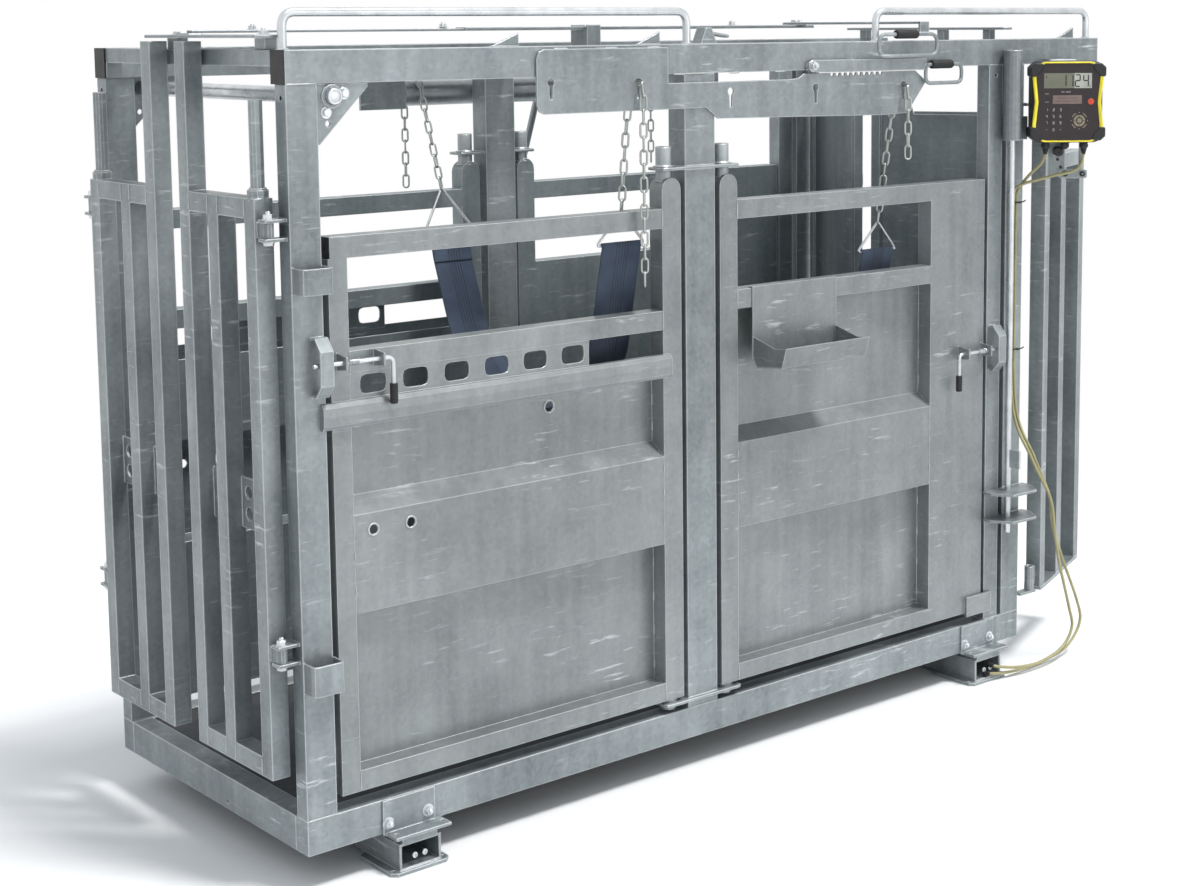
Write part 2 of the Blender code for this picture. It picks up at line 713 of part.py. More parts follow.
door_parts.append(plate("YZ", rub_rail, 0.1025, 1.190))
tongue = [(min(y, -0.0005), z) for y, z in rub_rail]
door_parts.append(plate("YZ", tongue, 0.070, 0.112))
door_cuts = [
    stile_bore,
    block(0.106, 0.152, WALL, DOOR_DEPTH - WALL, 0.134, 1.500),
    block(0.112, 1.180, WALL, DOOR_DEPTH - WALL, 1.495, 1.541),
    block(0.148, 1.180, WALL, DOOR_DEPTH - WALL, 1.209, 1.255),
    block(0.148, 1.180, WALL, DOOR_DEPTH - WALL, 0.134, 0.180),
    rod((0.09, 0.0275, 0.160), (0.11, 0.0275, 0.160), 0.005, 8),
    rod((0.806, 0.04, 1.028), (0.806, 0.07, 1.028), 0.015, 10),
    rod((0.212, -0.01, 0.80), (0.212, 0.02, 0.80), 0.013, 10),
    rod((0.323, -0.01, 0.80), (0.323, 0.02, 0.80), 0.013, 10),
]
ears, ear_holes = latch_bracket(0.118, 0.230, FRONT_LATCH_Z)
near_front_door = weld("near_front_door", door_parts + ears, door_cuts + ear_holes, near_front_axis)
mirrored(near_front_door, "far_front_door", far_front_axis)

stile, stile_bore = hinge_stile(1.384, 1.451, REAR_HINGE)
door_parts = stile + [
    block(1.440, 2.400, 0.0, DOOR_DEPTH, 1.498, 1.553),
    block(1.440, 2.290, 0.0, DOOR_DEPTH, 1.237, 1.293),
    block(1.440, 2.530, 0.0, DOOR_DEPTH, DOOR_BOTTOM, 0.180),
    block(2.276, 2.530, 0.0, DOOR_DEPTH, 0.150, 1.553),
    door_sheet(1.448, 2.279, 1.240, 0.176),
    block(2.450, 2.568, -0.012, -0.002, 0.120, 0.185),
    block(2.450, 2.520, -0.004, 0.002, 0.125, 0.180),
]
door_cuts = [
    stile_bore,
    block(1.443, 2.390, WALL, DOOR_DEPTH - WALL, 1.502, 1.549),
    block(1.443, 2.290, WALL, DOOR_DEPTH - WALL, 1.241, 1.289),
    block(1.443, 2.526, WALL, DOOR_DEPTH - WALL, 0.134, 0.176),
    block(2.280, 2.526, WALL, DOOR_DEPTH - WALL, 0.154, 1.549),
    rod((2.52, 0.0275, 0.220), (2.54, 0.0275, 0.220), 0.005, 8),
]
ears, ear_holes = latch_bracket(2.408, 2.520, REAR_LATCH_Z)
near_rear_door = weld("near_rear_door", door_parts + ears, door_cuts + ear_holes, near_rear_axis)
mirrored(near_rear_door, "far_rear_door", far_rear_axis)


# Latch bolts
def latch_bolt(name, tip, handle, z, near_frame, far_frame):
    """A bolt with its return spring and a handle bent down to a grip."""
    base = Vector((handle, LATCH_OUT, z))
    near_slide = joint_frame(f"near_{name}_slide", base, near_frame)
    far_slide = joint_frame(f"far_{name}_slide", (base.x, far(base.y), base.z), far_frame)
    run = [(tip, LATCH_OUT, z), (handle, LATCH_OUT, z), (handle, LATCH_OUT, z - 0.112)]
    middle = tip + math.copysign(0.108, handle - tip)
    parts = [
        tube(rounded(run, 0.016, 2), LATCH_ROD, 8),
        rod((handle, LATCH_OUT, z - 0.066), (handle, LATCH_OUT, z - 0.118), LATCH_GRIP, 8),
        rod((middle - 0.018, LATCH_OUT, z), (middle + 0.018, LATCH_OUT, z), 0.0095, 8),
    ]
    near_bolt = weld(f"near_{name}", parts, frame=near_slide, kind="bright_zinc")
    mirrored(near_bolt, f"far_{name}", far_slide)


latch_bolt("front_latch", 0.036, 0.263, FRONT_LATCH_Z, near_front_axis, far_front_axis)
latch_bolt("rear_latch", 2.597, 2.380, REAR_LATCH_Z, near_rear_axis, far_rear_axis)

# Feed tray hooked on the near rear door
tray_path = [
    (0.018, 1.2955),
    (-0.0022, 1.2955),
    (-0.0022, 1.085),
    (-0.020, 1.062),
    (-0.125, 1.072),
    (-0.143, 1.130),
]
tray_parts = [strip("YZ", tray_path, 0.0025, 1.507, 1.850)]
tray_end = [
    (-0.0022, 1.150), (-0.0022, 1.0850), (-0.020, 1.062), (-0.125, 1.072), (-0.1425, 1.128),
    (-0.095, 1.125),
]
for x in (1.508, 1.8465):
    tray_parts.append(plate("YZ", tray_end, x, x + 0.0025))
weld("feed_tray", tray_parts, frame=near_rear_axis)

# Head gate
near_head_axis = joint_frame("near_head_gate_axis", (*HEAD_HINGE, 0.0))
far_head_axis = joint_frame("far_head_gate_axis", (HEAD_HINGE[0], far(HEAD_HINGE[1]), 0.0))
gate_x0, gate_x1 = HEAD_TUBE
gate_parts = []
gate_cuts = []
for y0, z0, z1 in ((0.060, 0.195, 1.645), (0.247, 0.220, 1.620), (0.396, 0.195, 2.020)):
    gate_parts.append(block(gate_x0, gate_x1, y0, y0 + 0.050, z0, z1))
    gate_cuts.append(block(gate_x0 + WALL, gate_x1 - WALL, y0 + WALL, y0 + 0.046, z0 + WALL, z1 - WALL))
for z0 in (0.195, 1.595):
    gate_parts.append(block(gate_x0, gate_x1, 0.062, 0.440, z0, z0 + 0.050))
    gate_cuts.append(block(gate_x0 + WALL, gate_x1 - WALL, 0.070, 0.436, z0 + WALL, z0 + 0.046))
gate_middle = (gate_x0 + gate_x1) / 2
gate_parts.append(rod((gate_middle, 0.085, 1.640), (gate_middle, 0.085, 1.665), 0.026, 12))
gate_parts.append(rod((gate_middle, 0.085, 1.655), (gate_middle, 0.085, 1.880), 0.017, 12))
gate_cuts.append(rod((gate_middle, 0.085, 1.630), (gate_middle, 0.085, 1.890), 0.013, 12))
holes = [circle(y, z, 0.018, 8) for y in (0.145, 0.212, 0.347) for z in (0.838, 0.893)]
mid_plate = [(0.105, 0.800), (0.400, 0.800), (0.400, 0.930), (0.105, 0.930)]
gate_parts.append(plate("YZ", mid_plate, -0.018, -0.012, holes))
for height in HEAD_PIN_HEIGHTS:
    lug = [(-0.054, 0.064), (-0.054, 0.030), (-0.048, 0.018), (-0.040, 0.015), (-0.032, 0.018)]
    lug += [(-0.026, 0.030), (-0.026, 0.064)]
    hole = bearing(*HEAD_HINGE, HEAD_PIN)
    gate_parts.append(plate("XY", lug, height - 0.0187, height + 0.0187, [hole]))
near_head_gate = weld("near_head_gate", gate_parts, gate_cuts, near_head_axis)
mirrored(near_head_gate, "far_head_gate", far_head_axis)

# Rear leaves, set in a shallow V
near_leaf_axis = joint_frame("near_rear_leaf_axis", (*LEAF_HINGE, 0.0), turn=LEAF_TURN)
far_leaf_axis = joint_frame("far_rear_leaf_axis", (LEAF_HINGE[0], far(LEAF_HINGE[1]), 0.0), turn=-LEAF_TURN)
leaf_sheet = [
    (0.012, 0.130), (0.425, 0.130), (0.425, 1.830), (0.390, 1.862), (0.330, 1.862), (0.300, 1.750),
    (0.012, 1.750),
]
leaf_parts = [
    plate("YZ", leaf_sheet, -0.0015, 0.0015),
    rod((0, 0, 0.115), (0, 0, 1.880), 0.016, 12),
    block(-0.015, 0.015, LEAF_REACH - 0.030, LEAF_REACH, 0.130, 1.800),
    block(0.001, 0.005, 0.016, 0.300, 1.690, 1.760),
]
for z in (0.150, 0.820, 1.500):
    leaf_parts.append(block(-0.001, 0.026, 0.010, LEAF_REACH - 0.025, z, z + 0.040))
leaf_cuts = [
    rod((0, 0, 0.10), (0, 0, 1.90), LEAF_PIN + RUNNING, 10),
    block(-0.012, 0.012, LEAF_REACH - 0.027, LEAF_REACH - 0.003, 0.12, 1.81),
]
near_leaf = weld("near_rear_leaf", leaf_parts, leaf_cuts, near_leaf_axis)
mirrored(near_leaf, "far_rear_leaf", far_leaf_axis)

# Barred outer gate, ajar
outer_axis = joint_frame("outer_gate_axis", (*OUTER_HINGE, 0.0), turn=OUTER_TURN)
gate_parts = []
gate_cuts = []
for x, top in ((0.070, 1.770), (0.265, 1.590), (0.496, 1.610)):
    gate_parts.append(block(x - 0.025, x + 0.025, -0.025, 0.025, 0.142, top))
    gate_cuts.append(block(x - 0.021, x + 0.021, -0.021, 0.021, 0.160, top - WALL))
gate_parts.append(block(0.060, 0.510, -0.025, 0.025, 1.560, 1.610))
gate_cuts.append(block(0.060, 0.506, -0.021, 0.021, 1.564, 1.606))
gate_cuts.append(rod((0.070, 0.02, 0.20), (0.070, 0.04, 0.20), 0.005, 8))
foot = [(0.040, -0.030), (0.500, -0.030), (0.532, 0.0), (0.500, 0.030), (0.040, 0.030)]
gate_parts.append(plate("XY", foot, 0.138, 0.148))
for z0, z1 in ((0.1483, 0.230), (1.700, 1.7817)):
    gate_parts.append(rod((0, 0, z0), (0, 0, z1), 0.017, 12))
    gate_parts.append(block(0.012, 0.050, -0.004, 0.004, z0 + 0.010, z1 - 0.010))
    gate_cuts.append(rod((0, 0, z0 - 0.01), (0, 0, z1 + 0.01), LEAF_PIN + RUNNING, 10))
weld("outer_rear_gate", gate_parts, gate_cuts, outer_axis)

# Lock rod of the rear door
lock_slide = joint_frame("lock_rod_slide", (*LOCK_ROD, 0.50))
x, y = LOCK_ROD
lock_parts = [
    rod((x, y, 0.380), (x, y, 1.840), LOCK_ROD_RADIUS, 12),
    block(x - 0.004, x + 0.004, y - 0.050, y - 0.004, 0.600, 0.660),
    rod((x, y, 1.800), (x, y, 1.812), 0.024, 12),
]
weld("lock_rod", lock_parts, frame=lock_slide, kind="bright_zinc")

# Head gate control
push_slide = joint_frame("push_bar_slide", (2.185, 0.515, 2.045))
push_parts = [
    block(0.860, 2.240, 0.490, 0.540, 2.040, 2.050),
    block(0.020, 0.900, 0.500, 0.530, 2.040, 2.047),
    rod((0.800, 0.515, 2.043), (0.800, 0.515, 2.060), 0.010, 6),
    rod((0.200, 0.515, 2.043), (0.200, 0.515, 2.058), 0.010, 6),
    rod((1.900, 0.515, 2.047), (1.900, 0.515, 2.062), 0.010, 6),
]
weld("push_bar", push_parts, frame=push_slide)
loop = [(1.987, -0.045, 1.955), (2.246, -0.045, 1.955), (2.246, -0.045, 2.020), (1.987, -0.045, 2.020)]
lever_parts = [
    block(2.165, 2.205, -0.049, 0.560, 2.0503, 2.0583),
    block(2.165, 2.205, -0.049, -0.041, 2.015, 2.058),
    tube(rounded(loop, 0.030, 3, True), 0.006, 6, True),
    rod((2.060, -0.045, 2.020), (2.154, -0.045, 2.020), 0.0135, 12),
]
weld("head_lever", lever_parts, frame=push_slide)

pawl_axis = joint_frame("pawl_axis", (PAWL_PIVOT[0], -0.0106, PAWL_PIVOT[1]))
pawl_bar = [
    (1.725, 1.920), (1.740, 1.912), (1.800, 1.9100), (2.235, 1.9100), (2.235, 1.945), (1.740, 1.948),
    (1.725, 1.940),
]
pawl_loop = [
    (2.2262, PAWL_OUT, 1.868), (2.392, PAWL_OUT, 1.868), (2.392, PAWL_OUT, 1.926),
    (2.2262, PAWL_OUT, 1.926),
]
pawl_parts = [
    plate("XZ", pawl_bar, PAWL_BACK - 0.008, PAWL_BACK, [bearing(*PAWL_PIVOT, PAWL_PIN)]),
    tube(rounded(pawl_loop, 0.022, 2, True), 0.006, 6, True),
    rod((2.250, PAWL_OUT, 1.926), (2.345, PAWL_OUT, 1.926), 0.0138, 12),
]
weld("pawl_lever", pawl_parts, frame=pawl_axis)

plate_parts = [
    plate(
        "XY",
        rounded([(-0.050, 0.050), (0.040, 0.050), (0.040, 0.640), (-0.050, 0.640)], 0.015, 2, True),
        2.0283, 2.0363,
    ),
    block(0.005, 0.038, 0.100, 0.150, RAIL_TOP + GAP, 2.029),
    block(0.005, 0.038, 0.560, 0.610, RAIL_TOP + GAP, 2.029),
    block(0.000, 0.038, 0.480, 0.550, 2.035, 2.0397),
    rod((-0.010, 0.080, 2.035), (-0.010, 0.080, 2.046), 0.010, 6),
]
weld("gate_cross_plate", plate_parts)

# Winding shaft on the far rail
winding_axis = joint_frame("winding_shaft_axis", (1.550, *WINDING_SHAFT))
shaft_parts = [
    rod((1.012, *WINDING_SHAFT), (2.160, *WINDING_SHAFT), WINDING_RADIUS, 16),
    rod((0.975, *WINDING_SHAFT), (2.197, *WINDING_SHAFT), AXLE_RADIUS, 12),
    rod((1.550, shaft_y, shaft_z), (1.550, shaft_y + 0.107, shaft_z - 0.265), 0.011, 10),
]
shaft_cuts = [
    rod((1.016, *WINDING_SHAFT), (2.156, *WINDING_SHAFT), WINDING_RADIUS - WALL, 12),
    rod((1.700, shaft_y, shaft_z - 0.050), (1.700, shaft_y, shaft_z - 0.020), 0.005, 8),
]
weld("winding_shaft", shaft_parts, shaft_cuts, winding_axis)


# Belly straps, their rings and their chains
def loop_end(point, toward, x0, x1):
    """The sewn loop at a strap's end, open for the ring's wire."""
    centre = Vector(point) + Vector(toward).normalized() * 0.0075
    outline = circle(centre.x, centre.y, 0.0098, 10)
    return plate("YZ", outline, x0, x1, [circle(centre.x, centre.y, RING_WIRE + 0.0009, 8)]), centre


def belly_strap(name, centre, points):
    path = rounded(points, 0.18, 3)
    x0 = centre - STRAP_WIDTH / 2
    x1 = centre + STRAP_WIDTH / 2
    near_end, near_wire = loop_end(path[0], path[0] - path[1], x0, x1)
    far_end, far_wire = loop_end(path[-1], path[-1] - path[-2], x0, x1)
    weld(name, [strip("YZ", path, STRAP_THICK, x0, x1), near_end, far_end], kind="webbing")
    return near_wire, far_wire


def chain(name, centre, wire, apex_run, points):
    """A triangular ring through the strap's loop, and the chain's run from its apex."""
    base = Vector((0, wire.x, wire.y))
    up = Vector((0, *apex_run)).normalized()
    half = STRAP_WIDTH / 2 + 0.020
    side = Vector((1, 0, 0))
    middle = Vector((centre, 0, 0)) + base
    corners = [middle - side * half, middle + side * half, middle + up * 0.085]
    ring = tube(rounded(corners, 0.004, 2, True), RING_WIRE, 6, True)
    route = [middle + up * 0.080, *[Vector((centre + dx, y, z)) for dx, y, z in points]]
    weld(name, [ring, tube(route, CHAIN_RADIUS, 6)], kind="bright_zinc")


front_points = [
    (0.078, 1.440), (0.142, 1.100), (0.300, 0.960), (0.500, 0.930), (0.680, 0.990), (0.820, 1.120),
    (0.912, 1.380), (0.925, 1.470),
]
rear_points = [
    (0.092, 1.395), (0.130, 1.180), (0.280, 1.010), (0.500, 0.950), (0.700, 1.010), (0.840, 1.150),
    (0.915, 1.390), (0.925, 1.480),
]
near_wire, far_wire = belly_strap("front_belly_strap", STRAP_CENTRES[0], front_points)
NEAR_DROP = ((1.076, 1.898, 1.340), (2.131, 1.865, 1.640))
FAR_DROP = (1.550, 1.580)
WRAP = WINDING_RADIUS + CHAIN_RADIUS + 0.0025


def near_route(centre, hole):
    x, z, end = hole
    dx = x - centre + 0.007
    points = [(dx, 0.050, z - 0.130), (dx, 0.028, z), (dx, -0.026, z), (dx, -0.026, end)]
    return [tuple(point) for point in rounded(points, 0.018, 2)]


def far_route(dx, end):
    """Up inside the winding shaft, over it and down outside it."""
    points = []
    for turn in range(190, -1, -19):
        turn = math.radians(turn)
        points.append((dx, shaft_y + WRAP * math.cos(turn), shaft_z + WRAP * math.sin(turn)))
    return points + [(dx, shaft_y + WRAP, end)]


chain(
    "near_front_chain", STRAP_CENTRES[0], near_wire, (-0.006, 0.10),
    near_route(STRAP_CENTRES[0], NEAR_DROP[0]),
)
chain("far_front_chain", STRAP_CENTRES[0], far_wire, (0.030, 0.10), far_route(-0.020, FAR_DROP[0]))
near_wire, far_wire = belly_strap("rear_belly_strap", STRAP_CENTRES[1], rear_points)
chain(
    "near_rear_chain", STRAP_CENTRES[1], near_wire, (-0.006, 0.10),
    near_route(STRAP_CENTRES[1], NEAR_DROP[1]),
)
chain("far_rear_chain", STRAP_CENTRES[1], far_wire, (0.030, 0.10), far_route(-0.050, FAR_DROP[1]))


# Load bars
def load_bar(name, centre):
    x0 = centre - 0.0625
    x1 = centre + 0.0625
    y0 = -0.048
    y1 = far(y0)
    outer, bore = hollow(x0, x1, y0, y1, -0.092, -0.020, 0.006, "Y")
    parts = [outer, block(x0 + 0.010, x1 - 0.010, y0, y1, -0.022, -GAP)]
    cuts = [bore]
    for side in (0, 1):
        def pair(a, b):
            return (a, b) if side == 0 else (far(b), far(a))

        shoe = [(x0 - 0.025, 0), (x1 + 0.025, 0), (x1 + 0.025, 0.175), (x0 - 0.025, 0.175)]
        shoe = rounded(shoe, 0.014, 1, True)
        shoe = [(x, pair(y - 0.058, 0)[0] if side == 0 else far(y - 0.058)) for x, y in shoe]
        hole_y = -0.038 if side == 0 else far(-0.038)
        holes = [circle(x, hole_y, FOOT_HOLE, 16) for x in (x0 - 0.012, x1 + 0.012)]
        parts.append(plate("XY", shoe, -FOOT_HEIGHT, -0.090, holes))
        parts.append(block(centre - 0.028, centre + 0.028, *pair(y0 + 0.006, 0.110), -0.090, -0.034))
        flange = [(x0 - 0.012, -0.055), (x1 + 0.030, -0.055), (x1 + 0.030, -GAP), (x0 - 0.012, -GAP)]
        flange = [(x, pair(y, 0)[0] if side == 0 else far(y)) for x, y in flange]
        holes = [circle(x, -0.030 if side == 0 else far(-0.030), 0.007, 6) for x in (x0 + 0.004, x1 + 0.018)]
        parts.append(plate("XY", flange, -0.006, 0.002, holes))
        parts.append(block(x0 - 0.020, x1 + 0.012, *pair(-0.0063, -GAP), -0.003, 0.089))
        toward = -1 if side == 0 else 1
        face = -0.006 if side == 0 else far(-0.006)
        for x, z in ((x0 - 0.006, 0.027), (x1 - 0.010, 0.030)):
            parts.append(hex_head(x, face, z, toward, 0.011, 0.009))
    weld(name, parts, cuts)


load_bar("front_load_bar", LOAD_BARS[0])
load_bar("rear_load_bar", LOAD_BARS[1])

# Weigh indicator
indicator = joint_frame("indicator_frame", INDICATOR_CENTRE, turn=INDICATOR_TURN)
width, depth, height = INDICATOR_SIZE
half_w = width / 2
half_h = height / 2
case = rounded([(-half_w, -half_h), (half_w, -half_h), (half_w, half_h), (-half_w, half_h)], 0.030, 3, True)
case_parts = [plate("XZ", case, -0.040, 0.040)]


def bumper(side, end, grown=0.0):
    """A corner bumper's outline, its inner edge slanted beside the bezel. grown widens it for its cutter."""
    middle_x = BUMPER[0] - 0.0155
    middle_z = BUMPER[1] - 0.0180
    path = [(-0.0400, 0.0), (-0.0135, 0.0), (0.0, -0.0133), (0.0, -0.0358), (-0.0120, -0.0458)]
    scale = 1 + grown
    path = [((x + 0.0155) * scale + middle_x, (z + 0.0180) * scale + middle_z) for x, z in path]
    return rounded([(side * x, end * z) for x, z in path], 0.006, 2, True)


CORNERS = ((-1, -1), (1, -1), (1, 1), (-1, 1))
for side, end in CORNERS:
    case_parts.append(plate("XZ", bumper(side, end), -0.046, 0.020))
for x in (-0.062, 0.0, 0.062):
    case_parts.append(rod((x, 0.0, -half_h + 0.005), (x, 0.0, -half_h - 0.022), 0.014, 8))
weld("indicator_case", case_parts, frame=indicator, kind="black_plastic")


def waisted(wide, waist, end, tall, shoulder, radius):
    """An upright outline with rounded corners and drawn-in sides."""
    right = [(end, -tall), (wide, -shoulder), (waist, 0.0), (wide, shoulder), (end, tall)]
    left = [(-x, z) for x, z in reversed(right)]
    return rounded(right + left, radius, 2, True)


bezel_out = waisted(0.115, 0.106, 0.087, half_h - 0.0025, 0.084, 0.030)
bezel_in = waisted(0.101, 0.091, 0.078, half_h - 0.0115, 0.080, 0.028)
face_path = [(x * 0.995, z * 0.995) for x, z in bezel_in]
bezel_cuts = [plate("XZ", bumper(side, end, 0.03), -0.055, -0.020) for side, end in CORNERS]
weld(
    "indicator_bezel", [plate("XZ", bezel_out, -0.049, -0.0403, [bezel_in])], bezel_cuts, indicator,
    kind="yellow_plastic",
)
button = (0.0733, 0.001)
weld(
    "indicator_face", [plate("XZ", face_path, -0.047, -0.0403, [circle(*button, 0.0105, 16)])],
    frame=indicator, kind="panel",
)
button_slide = joint_frame("power_button_slide", (button[0], -0.0403, button[1]), indicator)
BASE[button_slide.name] = Vector((button[0], -0.0403, button[1]))
weld(
    "power_button", [rod((button[0], -0.0418, button[1]), (button[0], -0.0490, button[1]), 0.0100, 16)],
    frame=button_slide, kind="red_rubber",
)



def arm_reach(x):
    """How far back the arm runs to meet the top rail's outer face."""
    turn = math.radians(INDICATOR_TURN)
    return (-GAP - INDICATOR_CENTRE[1] - x * math.sin(turn)) / math.cos(turn)


arm = [(-0.045, -0.245), (0.010, -0.245), (0.010, -0.150), (0.045, -0.120), (0.045, 0.132), (-0.045, 0.132)]
bracket_parts = [
    plate("XZ", arm, 0.0403, 0.0443),
    plate("XZ", [(0.060, -0.235), (0.066, -0.235), (0.066, 0.0), (0.060, 0.0)], 0.0403, 0.070),
    plate("XZ", [(0.040, 0.000), (0.066, 0.000), (0.066, -0.030), (0.040, -0.030)], 0.0403, 0.0443),
    plate(
        "XZ",
        rounded([(-0.010, -0.252), (0.082, -0.252), (0.082, -0.222), (-0.010, -0.222)], 0.008, 2, True),
        0.036, 0.0413,
    ),
    rod((0.010, 0.037, -0.237), (0.010, 0.030, -0.237), 0.0075, 8),
    rod((0.066, 0.037, -0.237), (0.066, 0.030, -0.237), 0.0075, 8),
    rod((-0.016, 0.041, -0.163), (-0.016, 0.014, -0.163), 0.015, 10),
    plate(
        "XY", [(-0.040, 0.042), (0.040, 0.042), (0.060, arm_reach(0.060)), (-0.040, arm_reach(-0.040))],
        0.127, 0.134,
    ),
]
weld("indicator_bracket", bracket_parts, frame=indicator)


# Cables
def smooth(points, spacing):
    """Evenly spaced points of a smooth curve through the route's own points."""
    points = [Vector(point) for point in points]
    padded = [points[0] * 2 - points[1], *points, points[-1] * 2 - points[-2]]
    fine = []
    for one, two, three, four in zip(padded, padded[1:], padded[2:], padded[3:]):
        for step in range(24):
            t = step / 24
            fine.append(
                0.5
                * (
                    2 * two
                    + (three - one) * t
                    + (2 * one - 5 * two + 4 * three - four) * t * t
                    + (3 * two - one - 3 * three + four) * t * t * t
                )
            )
    fine.append(points[-1])
    total = sum((b - a).length for a, b in zip(fine, fine[1:]))
    count = round(total / spacing)
    path = [fine[0], fine[24]]
    travelled = 0.0
    for a, b in zip(fine[:-25], fine[1:-24]):
        run = (b - a).length
        travelled += run
        clear_of_end = (b - fine[-25]).length > spacing / 2
        if (b - path[-1]).length >= total / count and clear_of_end and travelled > spacing:
            path.append(b)
    path += [fine[-25], fine[-1]]
    return path, total


def gland_mouth(x):
    turn = math.radians(INDICATOR_TURN)
    cx, cy, cz = INDICATOR_CENTRE
    return Vector((cx + x * math.cos(turn), cy + x * math.sin(turn), cz - half_h - 0.022 - GAP))


CABLE_ROUTES = {
    "near_cell_cable": [
        gland_mouth(0.062),
        gland_mouth(0.062) + Vector((0.0, 0.0, -0.012)),
        (2.790, -0.165, 1.580),
        (2.720, -0.105, 1.555),
        (2.665, -0.030, 1.525),
        (2.6565, -0.014, 1.480),
        (2.657, -0.012, 1.200),
        (2.664, -0.014, 0.800),
        (2.700, -0.070, 0.620),
        (2.745, -0.112, 0.490),
        (2.775, -0.108, 0.380),
        (2.840, -0.078, 0.250),
        (2.915, -0.062, 0.080),
        (2.930, -0.066, 0.000),
        (2.860, -0.078, -0.055),
        (2.740, -0.086, -0.076),
        (2.630, -0.084, -0.070),
        (2.560, -0.070, -0.058),
        (2.532, -0.056, -0.051),
        (2.530, -0.0423, -0.050),
    ],
    "far_cell_cable": [
        gland_mouth(-0.062),
        gland_mouth(-0.062) + Vector((0.0, 0.0, -0.012)),
        (2.715, -0.080, 1.600),
        (2.690, -0.045, 1.555),
        (2.674, -0.018, 1.510),
        (2.6715, -0.013, 1.460),
        (2.670, -0.012, 1.200),
        (2.679, -0.014, 0.800),
        (2.725, -0.060, 0.620),
        (2.768, -0.090, 0.490),
        (2.800, -0.080, 0.380),
        (2.890, -0.050, 0.250),
        (2.985, -0.042, 0.080),
        (2.998, -0.046, 0.000),
        (2.920, -0.054, -0.066),
        (2.780, -0.062, -0.089),
        (2.640, -0.068, -0.087),
        (2.560, -0.066, -0.080),
        (2.512, -0.054, -0.074),
        (2.508, -0.0423, -0.074),
    ],
}
for name, route in CABLE_ROUTES.items():
    path, length = smooth(route, 0.034)
    print(name, "length", round(length, 3), "points", len(path))
    weld(name, [tube(path, CABLE_RADIUS, 8)], kind="cable")

for mesh in [mesh for mesh in bpy.data.meshes if not mesh.users]:
    bpy.data.meshes.remove(mesh)
for curve in [curve for curve in bpy.data.curves if not curve.users]:
    bpy.data.curves.remove(curve)
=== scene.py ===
"""Looks of a galvanised cattle crush: finishes, chains, webbing, cables, welds and the indicator.

Lengths are in metres. Places are measured from the near front bottom corner of the base frame, X along
the crush, Y to its far side and Z up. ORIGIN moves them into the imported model's frame.
"""

import json
from math import copysign, cos, pi, radians, sin, tan

import bmesh
import bpy
from mathutils import Matrix, Vector

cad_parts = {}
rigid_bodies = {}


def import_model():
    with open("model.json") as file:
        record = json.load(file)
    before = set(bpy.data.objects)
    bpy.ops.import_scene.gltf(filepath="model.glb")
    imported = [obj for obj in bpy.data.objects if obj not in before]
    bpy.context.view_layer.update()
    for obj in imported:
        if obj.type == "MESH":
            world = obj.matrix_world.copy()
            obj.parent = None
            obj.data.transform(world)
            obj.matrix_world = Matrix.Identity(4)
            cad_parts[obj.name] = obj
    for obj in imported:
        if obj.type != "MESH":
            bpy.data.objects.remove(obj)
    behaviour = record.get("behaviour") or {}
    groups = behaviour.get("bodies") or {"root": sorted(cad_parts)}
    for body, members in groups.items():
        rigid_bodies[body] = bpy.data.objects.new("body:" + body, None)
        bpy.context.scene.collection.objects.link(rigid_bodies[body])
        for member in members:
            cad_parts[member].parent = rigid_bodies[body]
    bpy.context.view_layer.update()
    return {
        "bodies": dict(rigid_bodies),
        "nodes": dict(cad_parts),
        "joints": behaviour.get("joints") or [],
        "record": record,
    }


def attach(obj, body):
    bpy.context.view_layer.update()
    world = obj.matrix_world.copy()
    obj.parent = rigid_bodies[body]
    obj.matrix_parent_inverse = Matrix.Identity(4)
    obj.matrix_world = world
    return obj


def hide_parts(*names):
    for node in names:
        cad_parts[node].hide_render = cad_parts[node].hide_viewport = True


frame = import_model()
bpy.context.scene.view_settings.view_transform = "Standard"

ORIGIN = Vector((-1.6043, -0.471, 0.1))
FRAME_WIDTH = 1.03
SILL_TOP = 0.09
RAIL_FOOT = 1.918
RAIL_TOP = 2.0
RAIL_MIDDLE_Y = 0.03
FRONT_LATCH_Z = 1.237
REAR_LATCH_Z = 1.0
LOAD_BARS = (0.2975, 2.515)
INDICATOR_CENTRE = (2.7605, -0.1363, 1.799)
INDICATOR_TURN = -40.5
HALF_WIDTH = 0.226 / 2
HALF_HEIGHT = 0.262 / 2
WHITE = (1, 1, 1, 1)
UP, DOWN, ALONG, OUT = (0, 0, 1), (0, 0, -1), (1, 0, 0), (0, -1, 0)


def near(y):
    return y


def far(y):
    """A place across the near side, mirrored to the far one."""
    return FRAME_WIDTH - y


SIDES = (("near", near, -1), ("far", far, 1))

# Camera and stage. The camera was solved from the crush's own edges in the photograph.
PHOTO_SIZE = (1181, 886)
FOCAL_LENGTH = 2002.1
OPTICAL_CENTRE = (690.0, 266.3)
CAMERA_TURN = Vector((0.1128, -0.0493, 0.7141))
CAMERA_PLACE = Vector((-2.405, -4.2361, 2.0543))


def add(name, data):
    """A new object in the scene."""
    item = bpy.data.objects.new(name, data)
    bpy.context.scene.collection.objects.link(item)
    return item


